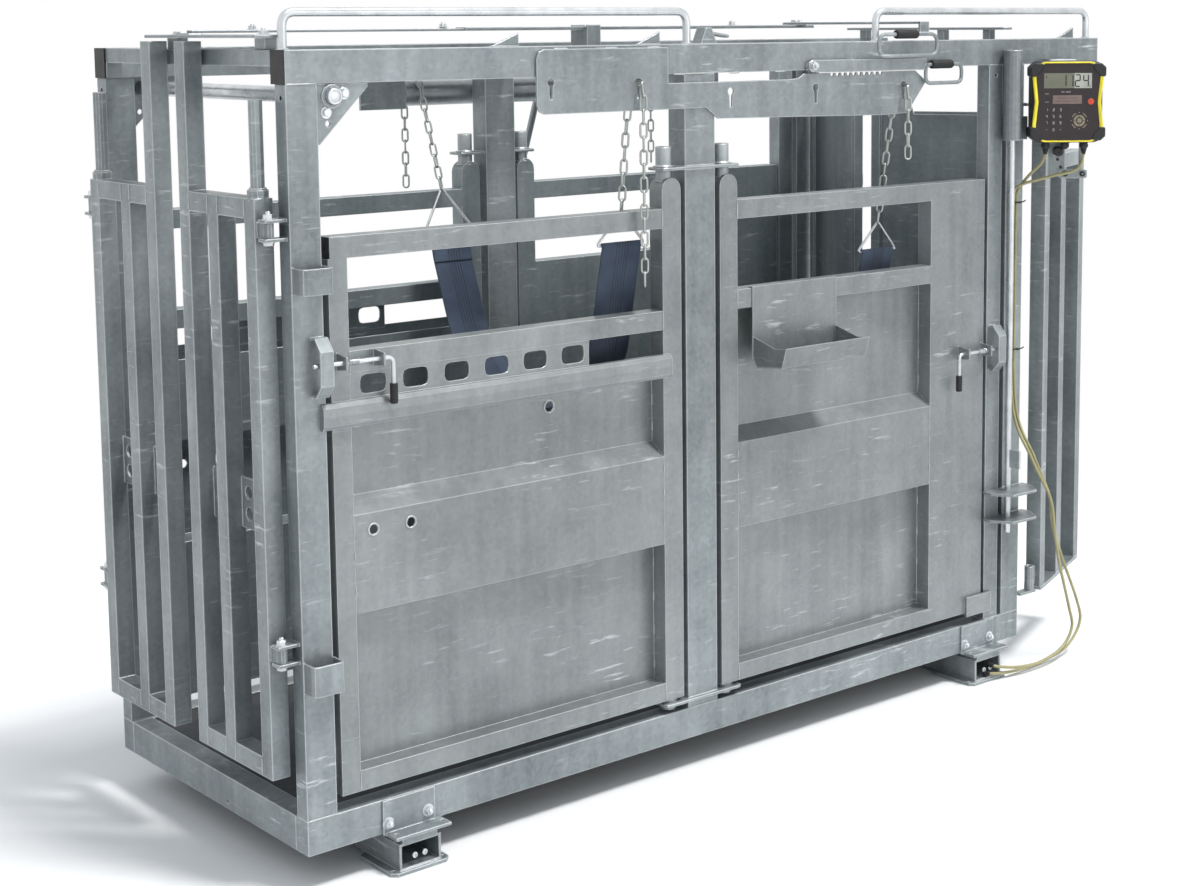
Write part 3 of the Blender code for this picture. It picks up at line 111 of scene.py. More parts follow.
def add_camera():
    """The view from the near front corner, with the photograph's shift of the optical centre."""
    spin = Matrix.Rotation(CAMERA_TURN.length, 3, CAMERA_TURN.normalized())
    rows = Matrix(((1, 0, 0), (0, 0, -1), (0, 1, 0))) @ spin
    axes = Matrix((rows[0], -rows[1], -rows[2])).transposed().to_4x4()
    data = bpy.data.cameras.new("camera")
    data.sensor_fit = "HORIZONTAL"
    data.sensor_width = 36.0
    data.lens = FOCAL_LENGTH * data.sensor_width / PHOTO_SIZE[0]
    data.shift_x = (PHOTO_SIZE[0] / 2 - OPTICAL_CENTRE[0]) / PHOTO_SIZE[0]
    data.shift_y = (OPTICAL_CENTRE[1] - PHOTO_SIZE[1] / 2) / PHOTO_SIZE[0]
    data.clip_start = 0.1
    data.clip_end = 60.0
    camera = add("camera", data)
    camera.matrix_world = Matrix.Translation(ORIGIN + CAMERA_PLACE) @ axes
    bpy.context.scene.camera = camera


def add_light(name, kind, place, target, energy, size):
    """A lamp that looks at a target. size is an area's side in metres or a sun's angle in degrees."""
    data = bpy.data.lights.new(name, kind)
    data.energy = energy
    if kind == "AREA":
        data.size = size
    else:
        data.angle = radians(size)
    lamp = add(name, data)
    lamp.location = place
    lamp.rotation_euler = (Vector(target) - Vector(place)).to_track_quat("-Z", "Y").to_euler()


def add_world():
    """Soft light that is pale above and darker at the horizon, on a white background."""
    world = bpy.data.worlds.new("studio")
    bpy.context.scene.world = world
    world.use_nodes = True
    world.node_tree.nodes.clear()
    build = Tree(world.node_tree)
    up = build("ShaderNodeSeparateXYZ", Vector=build("ShaderNodeTexCoord").outputs["Generated"])
    sky = build.ramp(up.outputs["Z"], -0.15, 0.75, 0.26, 0.85)
    soft = build("ShaderNodeBackground", Color=(0.9, 0.95, 1.0, 1.0), Strength=sky)
    white = build("ShaderNodeBackground", Color=WHITE, Strength=1.0)
    mix = build("ShaderNodeMixShader", build.seen(), soft.outputs[0], white.outputs[0])
    build.join(build("ShaderNodeOutputWorld").inputs["Surface"], mix.outputs[0])


def add_floor():
    """A pale floor that takes soft shadows and runs out into the white background."""
    shape = bpy.data.meshes.new("floor")
    form = bmesh.new()
    bmesh.ops.create_grid(form, x_segments=1, y_segments=1, size=14.0)
    form.to_mesh(shape)
    form.free()
    ground = add("floor", shape)
    ground.location.z = -0.0005
    build, shader, _ = material("pale_floor", 0.9)
    shader.inputs["Base Color"].default_value = (0.9, 0.9, 0.9, 1)
    away = build("ShaderNodeVectorMath", build.place())
    away.operation = "LENGTH"
    edge = build.math("MULTIPLY", build.seen(), build.ramp(away.outputs["Value"], 1.9, 3.4))
    white = build("ShaderNodeEmission", Color=WHITE, Strength=1.0)
    blend = build("ShaderNodeMixShader", edge, shader.outputs[0], white.outputs[0])
    output = MATERIALS["pale_floor"].node_tree.nodes["Material Output"]
    build.join(output.inputs["Surface"], blend.outputs[0])
    shape.materials.append(MATERIALS["pale_floor"])


# Finishes
class Tree:
    """Adds nodes to a tree, with their inputs set by name or by place."""

    def __init__(self, tree):
        self.tree = tree

    def __call__(self, kind, *given, **named):
        node = self.tree.nodes.new(kind)
        for key, value in [*enumerate(given), *named.items()]:
            self.join(node.inputs[key.replace("_", " ") if isinstance(key, str) else key], value)
        return node

    def join(self, socket, value):
        """Links a socket to a value from another node, or sets it."""
        if isinstance(value, bpy.types.NodeSocket):
            self.tree.links.new(value, socket)
        else:
            socket.default_value = value

    def ramp(self, value, low, high, dark=0.0, light=1.0):
        """A value run from dark to light between two limits."""
        limits = {"From_Min": low, "From_Max": high, "To_Min": dark, "To_Max": light}
        return self("ShaderNodeMapRange", Value=value, **limits).outputs["Result"]

    def place(self, scale=(1, 1, 1), turn=(0, 0, 0)):
        """Coordinates on the object, in metres times a scale."""
        points = self("ShaderNodeTexCoord").outputs["Object"]
        return self("ShaderNodeMapping", Vector=points, Rotation=turn, Scale=scale).outputs["Vector"]

    def noise(self, points, scale, detail=2.0, rough=0.5):
        node = self("ShaderNodeTexNoise", Vector=points, Scale=scale, Detail=detail, Roughness=rough)
        return node.outputs[0]

    def mix(self, share, one, two):
        """A blend of two colours, each from a node or as red, green and blue."""
        node = self.tree.nodes.new("ShaderNodeMix")
        node.data_type = "RGBA"
        for place, value in ((0, share), (6, one), (7, two)):
            self.join(node.inputs[place], (*value, 1) if isinstance(value, tuple) else value)
        return node.outputs[2]

    def math(self, operation, one, two=0.0, limit=False):
        node = self("ShaderNodeMath", one, two)
        node.operation = operation
        node.use_clamp = limit
        return node.outputs[0]

    def seen(self):
        """One for rays that see the background itself: the camera's, a reflection's and a window's."""
        rays = self("ShaderNodeLightPath").outputs
        share = self.math("ADD", rays["Is Camera Ray"], rays["Is Glossy Ray"], True)
        return self.math("ADD", share, rays["Is Transmission Ray"], True)


MATERIALS = {}


def material(name, roughness=0.5, metallic=0.0, bevel=0.0, **fixed):
    """A new material's builder and shader, and the normal of the bevel that softens its edges."""
    made = bpy.data.materials.new(name)
    made.use_nodes = True
    build = Tree(made.node_tree)
    shader = made.node_tree.nodes["Principled BSDF"]
    shader.inputs["Roughness"].default_value = roughness
    shader.inputs["Metallic"].default_value = metallic
    for key, value in fixed.items():
        shader.inputs[key.replace("_", " ")].default_value = value
    MATERIALS[name] = made
    normal = None
    if bevel:
        rounding = build("ShaderNodeBevel", Radius=bevel)
        rounding.samples = 4
        normal = rounding.outputs["Normal"]
        build.join(shader.inputs["Normal"], normal)
    return build, shader, normal


def bump(build, shader, height, strength, distance, normal=None):
    node = build("ShaderNodeBump", Strength=strength, Distance=distance, Height=height)
    if normal is not None:
        build.join(node.inputs["Normal"], normal)
    build.join(shader.inputs["Normal"], node.outputs["Normal"])


def galvanised(name, dark, light, rough, metallic, bevel):
    """Hot-dip zinc: cloudy patches, faint spangle, runs and pale scuffs, with painted highlights that turn
    the rounded edges pale.
    """
    build, shader, normal = material(name, 0.45, metallic, bevel)
    points = build.place()
    clouds = build.ramp(build.noise(points, 3.2, 5.0, 0.6), 0.32, 0.7, 0.0, 0.56)
    spangle = build("ShaderNodeTexVoronoi", Vector=points, Scale=85.0).outputs["Color"]
    runs = build.noise(build.place((26, 26, 1.6)), 1.0, 3.0)
    shade = build.math("ADD", clouds, build.ramp(spangle, 0.0, 1.0, 0.0, 0.22))
    shade = build.math("ADD", shade, build.ramp(runs, 0.3, 0.75, 0.0, 0.3), True)
    colour = build.mix(shade, dark, light)
    scuffs = build.noise(build.place((9, 9, 70), (0.55, 0.35, 0.2)), 1.0, 4.0, 0.62)
    patches = build.ramp(build.noise(points, 2.6, 3.0), 0.43, 0.6)
    marks = build.math("MULTIPLY", build.ramp(scuffs, 0.6, 0.74), patches, True)
    colour = build.mix(build.math("MULTIPLY", marks, 0.62), colour, (0.8, 0.84, 0.86))
    # Painted highlight: where the shader's bevel rounds an edge, the colour turns pale towards (0.88, 0.91,
    # 0.92).
    facing = build("ShaderNodeVectorMath", normal, build("ShaderNodeNewGeometry").outputs["True Normal"])
    facing.operation = "DOT_PRODUCT"
    edge = build.ramp(facing.outputs["Value"], 0.985, 0.86)
    colour = build.mix(build.math("MULTIPLY", edge, 0.8), colour, (0.88, 0.91, 0.92))
    build.join(shader.inputs["Base Color"], colour)
    build.join(shader.inputs["Roughness"], build.ramp(build.noise(points, 7.0, 4.0), 0.25, 0.75, *rough))
    dents = build.math("MULTIPLY", build.noise(points, 24.0, 3.0), 2.2)
    bump(build, shader, build.math("ADD", build.noise(points, 240.0, 3.0), dents), 0.16, 0.0012, normal)


def plain(name, colour, roughness, metallic=0.0, bevel=0.0, grain=300.0, depth=0.1, **fixed):
    """A moulded or plated finish with slight variation in tone and a fine grain."""
    build, shader, normal = material(name, roughness, metallic, bevel, **fixed)
    points = build.place()
    tone = build.ramp(build.noise(points, 18.0, 3.0), 0.3, 0.7)
    dark = tuple(value * 0.86 for value in colour)
    light = tuple(min(1.0, value * 1.12) for value in colour)
    build.join(shader.inputs["Base Color"], build.mix(tone, dark, light))
    limits = (roughness * 0.85, min(1.0, roughness * 1.2))
    build.join(shader.inputs["Roughness"], build.ramp(build.noise(points, 30.0, 3.0), 0.2, 0.8, *limits))
    bump(build, shader, build.noise(points, grain, 2.0), depth, 0.0006, normal)


galvanised("galvanised", (0.135, 0.157, 0.166), (0.365, 0.4, 0.41), (0.3, 0.52), 0.42, 0.0055)
galvanised("galvanised_sheet", (0.175, 0.19, 0.193), (0.33, 0.355, 0.358), (0.3, 0.44), 0.45, 0.003)
# A darker, rougher copy of the sheet zinc that paints shade on the far doors and the rear leaves.
galvanised("galvanised_painted_shade", (0.12, 0.15, 0.158), (0.3, 0.34, 0.352), (0.38, 0.58), 0.42, 0.0036)
galvanised("galvanised_round", (0.22, 0.245, 0.255), (0.42, 0.46, 0.47), (0.3, 0.5), 0.65, 0.006)
plain("bright_zinc", (0.66, 0.69, 0.71), 0.28, 0.9)
plain("weld_metal", (0.5, 0.52, 0.52), 0.4, 0.7, grain=900.0, depth=0.6)
plain("chain_steel", (0.46, 0.49, 0.47), 0.36, 0.85)
plain("floor_dark", (0.055, 0.06, 0.065), 0.6, 0.15, 0.0015, 70.0, 0.5)
plain("black_plastic", (0.018, 0.018, 0.02), 0.46, 0.0, 0.0015)
plain("black_rubber", (0.014, 0.014, 0.015), 0.62, grain=500.0, depth=0.3)
plain("yellow_plastic", (0.86, 0.72, 0.02), 0.34, 0.0, 0.001, Coat_Weight=0.35)
plain("panel_brown", (0.026, 0.018, 0.019), 0.55)
plain("panel_key", (0.13, 0.1, 0.1), 0.5, 0.0, 0.0006)
plain("panel_key_pale", (0.44, 0.41, 0.38), 0.5)
plain("panel_key_tan", (0.27, 0.235, 0.165), 0.5)
plain("red_rubber", (0.8, 0.09, 0.035), 0.38, 0.0, 0.001)
plain("cable_sheath", (0.36, 0.33, 0.17), 0.46, grain=800.0, depth=0.15)
plain("lcd_glass", (0.165, 0.172, 0.118), 0.2, Coat_Weight=0.6, Coat_Roughness=0.08)
plain("lcd_pale", (0.45, 0.46, 0.39), 0.22, Coat_Weight=0.6, Coat_Roughness=0.08)
plain("lcd_brown", (0.2, 0.135, 0.12), 0.24, Coat_Weight=0.6, Coat_Roughness=0.08)
plain("thread", (0.42, 0.46, 0.52), 0.75)
plain("lcd_ink", (0.012, 0.012, 0.014), 0.4)


def webbing():
    """Navy webbing: ribs across, and warp stripes along it, read from the strip's own UVs in metres."""
    build, shader, _ = material("webbing", 0.8, Sheen_Weight=0.35, Sheen_Roughness=0.5)
    strip = build("ShaderNodeSeparateXYZ", Vector=build("ShaderNodeUVMap").outputs[0]).outputs
    ribs, warp, stripe = (
        build.math("SINE", build.math("MULTIPLY", strip[axis], 2 * pi / pitch))
        for axis, pitch in (("Y", 0.0042), ("X", 0.003), ("X", 0.0095))
    )
    middle = build.ramp(build.math("ABSOLUTE", strip["X"]), 0.024, 0.026, 1.0, 0.0)
    groove = build.math("MULTIPLY", build.ramp(stripe, 0.55, 0.9), middle)
    wear = build.ramp(build.noise(build.place(), 14.0, 4.0), 0.3, 0.7, 0.0, 0.55)
    tone = build.math("ADD", wear, build.ramp(warp, -1.0, 1.0, 0.0, 0.35), True)
    colour = build.mix(tone, (0.02, 0.032, 0.066), (0.08, 0.118, 0.18))
    build.join(shader.inputs["Base Color"], build.mix(groove, colour, (0.008, 0.012, 0.028)))
    weave = build.math("ADD", build.math("MULTIPLY", ribs, 0.6), build.math("MULTIPLY", warp, 0.5))
    weave = build.math("SUBTRACT", weave, build.math("MULTIPLY", groove, 1.6))
    bump(build, shader, weave, 0.5, 0.0006)


webbing()


# Meshes
def wheel(count):
    """The cosine and sine at each of a whole turn's steps."""
    turns = [2 * pi * step / count for step in range(count)]
    return [(cos(turn), sin(turn)) for turn in turns]


def square(axis):
    """An axis made one long, and two directions square to it."""
    axis = Vector(axis).normalized()
    side = axis.orthogonal().normalized()
    return axis, side, axis.cross(side)


def circle(x, y, z, radius, count):
    """Points of a level circle."""
    return [(x + radius * c, y + radius * s, z) for c, s in wheel(count)]


class Form:
    """Builds the meshes of pieces, one after another, from points in a frame of its own."""

    def __init__(self, frame=None):
        self.form = bmesh.new()
        self.frame = frame or Matrix.Translation(ORIGIN)

    def skin(self, sections, closed=False):
        """Faces between sections that have as many points each, and over both ends of an open run."""
        new = self.form.verts.new
        rings = [[new(self.frame @ Vector(point)) for point in section] for section in sections]
        pairs = list(zip(rings, rings[1:]))
        if closed:
            pairs.append((rings[-1], rings[0]))
        for one, two in pairs:
            for index in range(len(one)):
                after = (index + 1) % len(one)
                self.form.faces.new((one[index], one[after], two[after], two[index]))
        if not closed:
            self.form.faces.new(rings[0][::-1])
            self.form.faces.new(rings[-1])

    def sweep(self, path, outline, closed=False):
        """An outline of (side, height) points carried along a path. A function may give one a point."""
        path = [Vector(point) for point in path]
        count = len(path)
        tangents = []
        for index in range(count):
            before = path[index - 1] if index or closed else path[0]
            after = path[(index + 1) % count] if index < count - 1 or closed else path[-1]
            tangents.append((after - before).normalized())
        up = Vector(UP)
        normal = up - tangents[0] * tangents[0].dot(up)
        if normal.length < 1e-4:
            normal = tangents[0].orthogonal()
        normal.normalize()
        sections = []
        for index, (point, tangent) in enumerate(zip(path, tangents)):
            normal = (normal - tangent * tangent.dot(normal)).normalized()
            side = tangent.cross(normal)
            shape = outline(index) if callable(outline) else outline
            sections.append([point + side * u + normal * v for u, v in shape])
        self.skin(sections, closed)

    def tube(self, path, radius, sides=12, closed=False):
        """A round bar along a path. radius may be a list with one radius a point."""
        def section(index):
            size = radius[index] if isinstance(radius, list) else radius
            return [(size * c, size * s) for c, s in wheel(sides)]

        self.sweep(path, section, closed)

    def turned(self, base, axis, profile, sides=24):
        """A turned solid: (distance along the axis, radius) pairs from one end to the other."""
        base = Vector(base)
        axis, side, other = square(axis)
        spokes = [side * c + other * s for c, s in wheel(sides)]
        self.skin([[base + axis * x + spoke * max(size, 1e-5) for spoke in spokes] for x, size in profile])

    def prism(self, plane, outline, low, high, bevel=0.0):
        """A flat outline thickened across its plane, its two rims cut back by a bevel."""
        points = [Vector((u, v)) for u, v in outline]
        rims = [(points, low), (points, high)]
        if bevel:
            inner = inset(points, bevel)
            rims = [(inner, low), (points, low + bevel), (points, high - bevel), (inner, high)]
        order = {"XY": (0, 1, 2), "XZ": (0, 2, 1), "YZ": (2, 0, 1)}[plane]
        self.skin([[[(p.x, p.y, w)[axis] for axis in order] for p in rim] for rim, w in rims])

    def box(self, x0, x1, y0, y1, z0, z1, bevel):
        self.prism("XY", oblong(x0, x1, y0, y1), z0, z1, bevel)

    def tile(self, x0, x1, z0, z1, low, high):
        """An upright oblong, thin along Y."""
        self.prism("XZ", oblong(x0, x1, z0, z1), low, high)

    def hexagon(self, base, axis, radius, height, chamfer):
        """A six-sided head or nut, its outer corners turned down."""
        profile = [(0, radius), (height - chamfer, radius), (height, radius - chamfer * 1.4)]
        self.turned(base, axis, profile, 6)

    def piece(self, name, finish, slot, *nodes, body="crush_frame", sharp=35):
        """Makes an object of the mesh, in its finish and on its body, and empties the form."""
        bmesh.ops.recalc_face_normals(self.form, faces=self.form.faces)
        shape = bpy.data.meshes.new(name)
        self.form.to_mesh(shape)
        self.form.clear()
        shape.shade_smooth()
        shape.set_sharp_from_angle(angle=radians(sharp))
        item = add(name, shape)
        shape.materials.append(MATERIALS[finish])
        if nodes:
            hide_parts(*nodes)
        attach(item, body)
        return item


def inset(points, distance):
    """An outline drawn in by a distance."""
    area = sum(a.x * b.y - b.x * a.y for a, b in zip(points, points[1:] + points[:1]))
    sign = 1 if area > 0 else -1
    moved = []
    count = len(points)
    for index, point in enumerate(points):
        before = (point - points[index - 1]).normalized()
        after = (points[(index + 1) % count] - point).normalized()
        one = Vector((-before.y, before.x)) * sign
        two = Vector((-after.y, after.x)) * sign
        across = one + two
        across = one if across.length < 1e-6 else across.normalized()
        moved.append(point + across * distance / max(0.35, across.dot(one)))
    return moved


def rounded(points, radius, steps=6, closed=False):
    """The points of a path with each corner replaced by an arc."""
    points = [Vector(point) for point in points]
    count = len(points)
    path = []
    for index, corner in enumerate(points):
        if not closed and index in (0, count - 1):
            path.append(corner)
            continue
        before = points[index - 1] - corner
        after = points[(index + 1) % count] - corner
        half = before.angle(after) / 2
        reach = min(radius / tan(half), 0.49 * before.length, 0.49 * after.length)
        start = corner + before.normalized() * reach
        end = corner + after.normalized() * reach
        for step in range(steps + 1):
            share = step / steps
            path.append(start.lerp(corner, share).lerp(corner.lerp(end, share), share))
    return path


def evenly(path, spacing):
    """Points at a steady spacing along a path, and the path's length."""
    path = [Vector(point) for point in path]
    total = sum((b - a).length for a, b in zip(path, path[1:]))
    count = max(1, round(total / spacing))
    step = total / count
    points = [path[0]]
    want = step
    gone = 0.0
    for a, b in zip(path, path[1:]):
        run = (b - a).length
        while run > 0 and gone + run >= want - 1e-9 and len(points) < count:
            points.append(a.lerp(b, (want - gone) / run))
            want += step
        gone += run
    points.append(path[-1])
    return points, total


def curved(corners, radius, steps=8):
    """The points of a closed outline with rounded corners."""
    return rounded(corners, radius, steps, True)


def oblong(u0, u1, v0, v1):
    """The four corners of an oblong."""
    return [(u0, v0), (u1, v0), (u1, v1), (u0, v1)]


NODE_FINISH = {
    "floor_dark": ("floor_plate",),
    "black_plastic": ("near_rail_cap", "far_rail_cap"),
    "galvanised_sheet": ("near_front_door", "near_rear_door", "feed_tray"),
    # The far doors and the rear leaves take the darker zinc as painted shade.
    "galvanised_painted_shade": ("far_front_door", "far_rear_door", "near_rear_leaf", "far_rear_leaf"),
    "bright_zinc": ("front_guard_rail", "rear_guard_rail"),
}
finish_of = {name: finish for finish, names in NODE_FINISH.items() for name in names}
for name, node in frame["nodes"].items():
    node.data.materials.clear()
    node.data.materials.append(MATERIALS[finish_of.get(name, "galvanised")])

add_world()
add_camera()
add_light("key", "SUN", (1.5, -2.6, 6.4), (0, 0, 0), 2.55, 12.0)
add_light("fill", "AREA", (2.0, -7.5, 1.6), (0, 0, 1.0), 60.0, 5.0)
add_floor()

# Chains, their rings and the belly straps
STRAP_WIDTH = 0.14
STRAP_THICK = 0.0042
STRAP_MIDDLE = Vector((0.5, 1.1))
RING_WIRE = 0.004
RING_TALL = 0.092
LINK_PITCH = 0.0365
LINK_WIRE = 0.0031
LINK_WIDTH = 0.0088
WINDING_SHAFT = (1.075, 1.845)
WINDING_RADIUS = 0.038
FRONT_STRAP = [
    (0.078, 1.44), (0.142, 1.1), (0.3, 0.96), (0.5, 0.93),
    (0.68, 0.99), (0.82, 1.12), (0.908, 1.35), (0.919, 1.425),
]
REAR_STRAP = [
    (0.09, 1.34), (0.13, 1.15), (0.28, 1.01), (0.5, 0.95),
    (0.7, 1.01), (0.84, 1.15), (0.915, 1.39), (0.925, 1.48),
]
# Each strap's middle, its line in (y, z), the near chain's x, keyhole and end, the far chain's shift
# and end, and the height of the far ring
STRAPS = (
    ("front", 1.08, FRONT_STRAP, (1.083, 1.898, 1.34), (-0.02, 1.55), 0.128),
    ("rear", 2.12, REAR_STRAP, (2.138, 1.865, 1.64), (-0.05, 1.58), RING_TALL),
)


def eye(one, two):
    """The middle of the loop at a strap's end and the way the strap runs out to it, in (y, z)."""
    run = (Vector(one) - Vector(two)).normalized()
    return Vector(one) + run * 0.0075, run


def chain(route):
    """Oval links along a route, each turned a quarter from the last, and none hanging quite straight."""
    points, _ = evenly(route, LINK_PITCH)
    form = Form()
    reach = LINK_PITCH / 2 + LINK_WIRE * 0.85 - LINK_WIDTH
    for index, (one, two) in enumerate(zip(points, points[1:])):
        along = (two - one).normalized()
        side = (Vector(ALONG) - along * along.x).normalized()
        roll = radians(38) + (pi / 2 if index % 2 else 0) + 0.1 * sin(index * 2.1)
        flat = side * cos(roll) + along.cross(side) * sin(roll)
        path = []
        for end, first in ((1, -90), (-1, 90)):
            for step in range(7):
                turn = radians(first + 30 * step)
                stretch = along * (end * reach + LINK_WIDTH * cos(turn))
                path.append((one + two) / 2 + stretch + flat * LINK_WIDTH * sin(turn))
        form.tube(path, LINK_WIRE, 8, True)
    return form


def strap_ring(centre, wire, lean, tall):
    """The triangular wire ring in a strap's eye, its joint welded at the base, and its apex."""
    half = STRAP_WIDTH / 2 + 0.016
    side = Vector(ALONG)
    middle = Vector((centre, wire.x, wire.y))
    up = Vector((0, lean, 0.1)).normalized()
    form = Form()
    corners = [middle - side * half, middle + side * half, middle + up * tall]
    form.tube(curved(corners, 0.007, 6), RING_WIRE * 0.95, 12, True)
    form.tube([middle + side * (half * share) for share in (0.9, 0.93, 0.96)], [0.0042, 0.0054, 0.0042], 12)
    return form, middle + up * (tall - 0.005)


def near_route(x, z, end):
    """Out through a keyhole and down in front of the strap plate."""
    return rounded([(x, 0.05, z - 0.13), (x, 0.028, z), (x, -0.026, z), (x, -0.026, end)], 0.018, 5)


def far_route(x, end):
    """Up inside the winding shaft, over it and down outside it."""
    y, z = WINDING_SHAFT
    wrap = WINDING_RADIUS + 0.013
    turns = [radians(190 - 190 * step / 24) for step in range(25)]
    over = [Vector((x, y + wrap * cos(turn), z + wrap * sin(turn))) for turn in turns]
    return over + [Vector((x, y + wrap, end))]


def inward(one, two, inner):
    """The direction square to a run that looks the inner way."""
    side = Vector((-(two - one).y, (two - one).x)).normalized()
    return side if side.dot(inner) > 0 else -side


def folded(line, eyes):
    """The strap's line with each end taken round its ring and back along the inner face."""
    folds = []
    for samples, (wire, run) in zip((line, line[::-1]), eyes):
        across = Vector((-run.y, run.x))
        inner = across if across.dot(STRAP_MIDDLE - wire) > 0 else -across
        reach = RING_WIRE + STRAP_THICK / 2 + 0.0004
        turns = [radians(200 * step / 8 - 10) for step in range(9)]
        fold = [wire + (-inner * cos(turn) + run * sin(turn)) * reach for turn in turns]
        gone = 0.0
        for one, two in zip(samples, samples[1:]):
            gone += (two - one).length
            if 0.018 < gone < 0.115:
                fold.append(two + inward(one, two, inner) * STRAP_THICK * 1.04)
        folds.append(fold)
    return folds[0][::-1] + line[2:-2] + folds[1]


def webbing_strap(name, centre, points):
    """A woven strap whose two ends are folded round the rings, and its length."""
    line = rounded(points, 0.18, 16)
    eyes = (eye(points[0], points[1]), eye(points[-1], points[-2]))
    path, length = evenly([Vector((0, y, z)) for y, z in folded(line, eyes)], 0.012)
    form = Form()
    mesh = form.form
    half = STRAP_WIDTH / 2
    stations = [half * share for share in (-0.94, -0.6, -0.2, 0.2, 0.6, 0.94)]
    stations = [-half, -half + 0.0012, *stations, half - 0.0012, half]
    layer = mesh.loops.layers.uv.new("strip")
    rows = []
    along = 0.0
    for index, point in enumerate(path):
        before = path[max(0, index - 1)]
        tangent = (path[min(len(path) - 1, index + 1)] - before).normalized()
        normal = Vector((0, -tangent.z, tangent.y))
        ring = []
        for face in (1, -1):
            for x in stations[::face]:
                lift = STRAP_THICK / 2 if abs(x) < half - 0.0006 else STRAP_THICK * 0.22
                place = ORIGIN + Vector((centre + x, 0, 0)) + point + normal * face * lift
                ring.append(mesh.verts.new(place))
        along += (point - before).length
        rows.append((ring, along))
    width = [*stations, *stations[::-1]]
    for (one, a), (two, b) in zip(rows, rows[1:]):
        for index, u in enumerate(width):
            after = (index + 1) % len(width)
            made = mesh.faces.new((one[index], one[after], two[after], two[index]))
            for loop, place in zip(made.loops, ((u, a), (width[after], a), (width[after], b), (u, b))):
                loop[layer].uv = place
    mesh.faces.new(rows[0][0][::-1])
    mesh.faces.new(rows[-1][0])
    strap = form.piece(f"{name}_strap", "webbing", "webbing", f"{name}_belly_strap", sharp=60)
    return strap, stitching(name, centre, line, eyes), length


def stitching(name, centre, line, eyes):
    """Four rows of stitches across each sewn end."""
    form = Form()
    for samples, (wire, _) in zip((line, line[::-1]), eyes):
        gone = 0.0
        waiting = [0.03, 0.052, 0.074, 0.096]
        for one, two in zip(samples, samples[1:]):
            step = (two - one).length
            while waiting and gone + step >= waiting[0]:
                spot = one.lerp(two, (waiting.pop(0) - gone) / step)
                side = inward(one, two, STRAP_MIDDLE - wire)
                place = spot - side * (STRAP_THICK / 2 + 0.0002)
                for stitch in range(13):
                    x = centre - 0.062 + stitch * 0.0098
                    crown = (x + 0.0035, *(place - side * 0.0008))
                    form.tube([(x, *place), crown, (x + 0.007, *place)], [0.001, 0.0014, 0.001], 6)
            gone += step
    return form.piece(f"{name}_strap_stitching", "thread", "webbing", sharp=60)


for name, centre, points, near_chain, (shift, far_end), far_tall in STRAPS:
    for side, end, inner, lean, tall in (
        ("near", 0, 1, -0.006, RING_TALL), ("far", -1, -2, 0.03, far_tall),
    ):
        wire, _ = eye(points[end], points[inner])
        form, apex = strap_ring(centre, wire, lean, tall)
        form.piece(f"{side}_{name}_ring", "bright_zinc", "bright_zinc").name
        route = near_route(*near_chain) if side == "near" else far_route(centre + shift, far_end)
        links = chain([apex, *route])
        links.piece(f"{side}_{name}_links", "chain_steel", "bright_zinc", f"{side}_{name}_chain", sharp=60)
    strap, thread, length = webbing_strap(name, centre, points)

# Cables, each from a gland of the indicator to the rear load bar, along the same points as in the solids
RELIEF = [
    (-0.002, 0.0098), (0.002, 0.0098), (0.0022, 0.009), (0.006, 0.0088), (0.0062, 0.008),
    (0.0095, 0.0078), (0.0098, 0.007), (0.013, 0.0068), (0.0134, 0.006), (0.0175, 0.0056),
]
CABLE_ROUTES = {
    "near_cell_cable": (0.062, [
        (2.79, -0.165, 1.58), (2.72, -0.105, 1.555), (2.665, -0.03, 1.525), (2.6565, -0.014, 1.48),
        (2.657, -0.012, 1.2), (2.664, -0.014, 0.8), (2.7, -0.07, 0.62), (2.745, -0.112, 0.49),
        (2.775, -0.108, 0.38), (2.84, -0.078, 0.25), (2.915, -0.062, 0.08), (2.93, -0.066, 0.0),
        (2.86, -0.078, -0.055), (2.74, -0.086, -0.076), (2.63, -0.084, -0.07),
        (2.56, -0.07, -0.058), (2.532, -0.056, -0.051), (2.53, -0.0423, -0.05),
    ]),
    "far_cell_cable": (-0.062, [
        (2.715, -0.08, 1.6), (2.69, -0.045, 1.555), (2.674, -0.018, 1.51), (2.6715, -0.013, 1.46),
        (2.67, -0.012, 1.2), (2.679, -0.014, 0.8), (2.725, -0.06, 0.62), (2.768, -0.09, 0.49),
        (2.8, -0.08, 0.38), (2.89, -0.05, 0.25), (2.985, -0.042, 0.08), (2.998, -0.046, 0.0),
        (2.92, -0.054, -0.066), (2.78, -0.062, -0.089), (2.64, -0.068, -0.087),
        (2.56, -0.066, -0.08), (2.512, -0.054, -0.074), (2.508, -0.0423, -0.074),
    ]),
}


def gland_mouth(x):
    turn = radians(INDICATOR_TURN)
    cx, cy, cz = INDICATOR_CENTRE
    return Vector((cx + x * cos(turn), cy + x * sin(turn), cz - HALF_HEIGHT - 0.0223))


def smooth_route(points, spacing):
    """Evenly spaced points of a smooth curve through the route's own points."""
    points = [Vector(point) for point in points]
    padded = [points[0] * 2 - points[1], *points, points[-1] * 2 - points[-2]]
    fine = []
    for one, two, three, four in zip(padded, padded[1:], padded[2:], padded[3:]):
        for step in range(24):
            t = step / 24
            bend = (2 * one - 5 * two + 4 * three - four) * t * t
            cubic = (3 * two - one - 3 * three + four) * t * t * t
            fine.append(0.5 * (2 * two + (three - one) * t + bend + cubic))
    fine.append(points[-1])
    return evenly(fine, spacing)


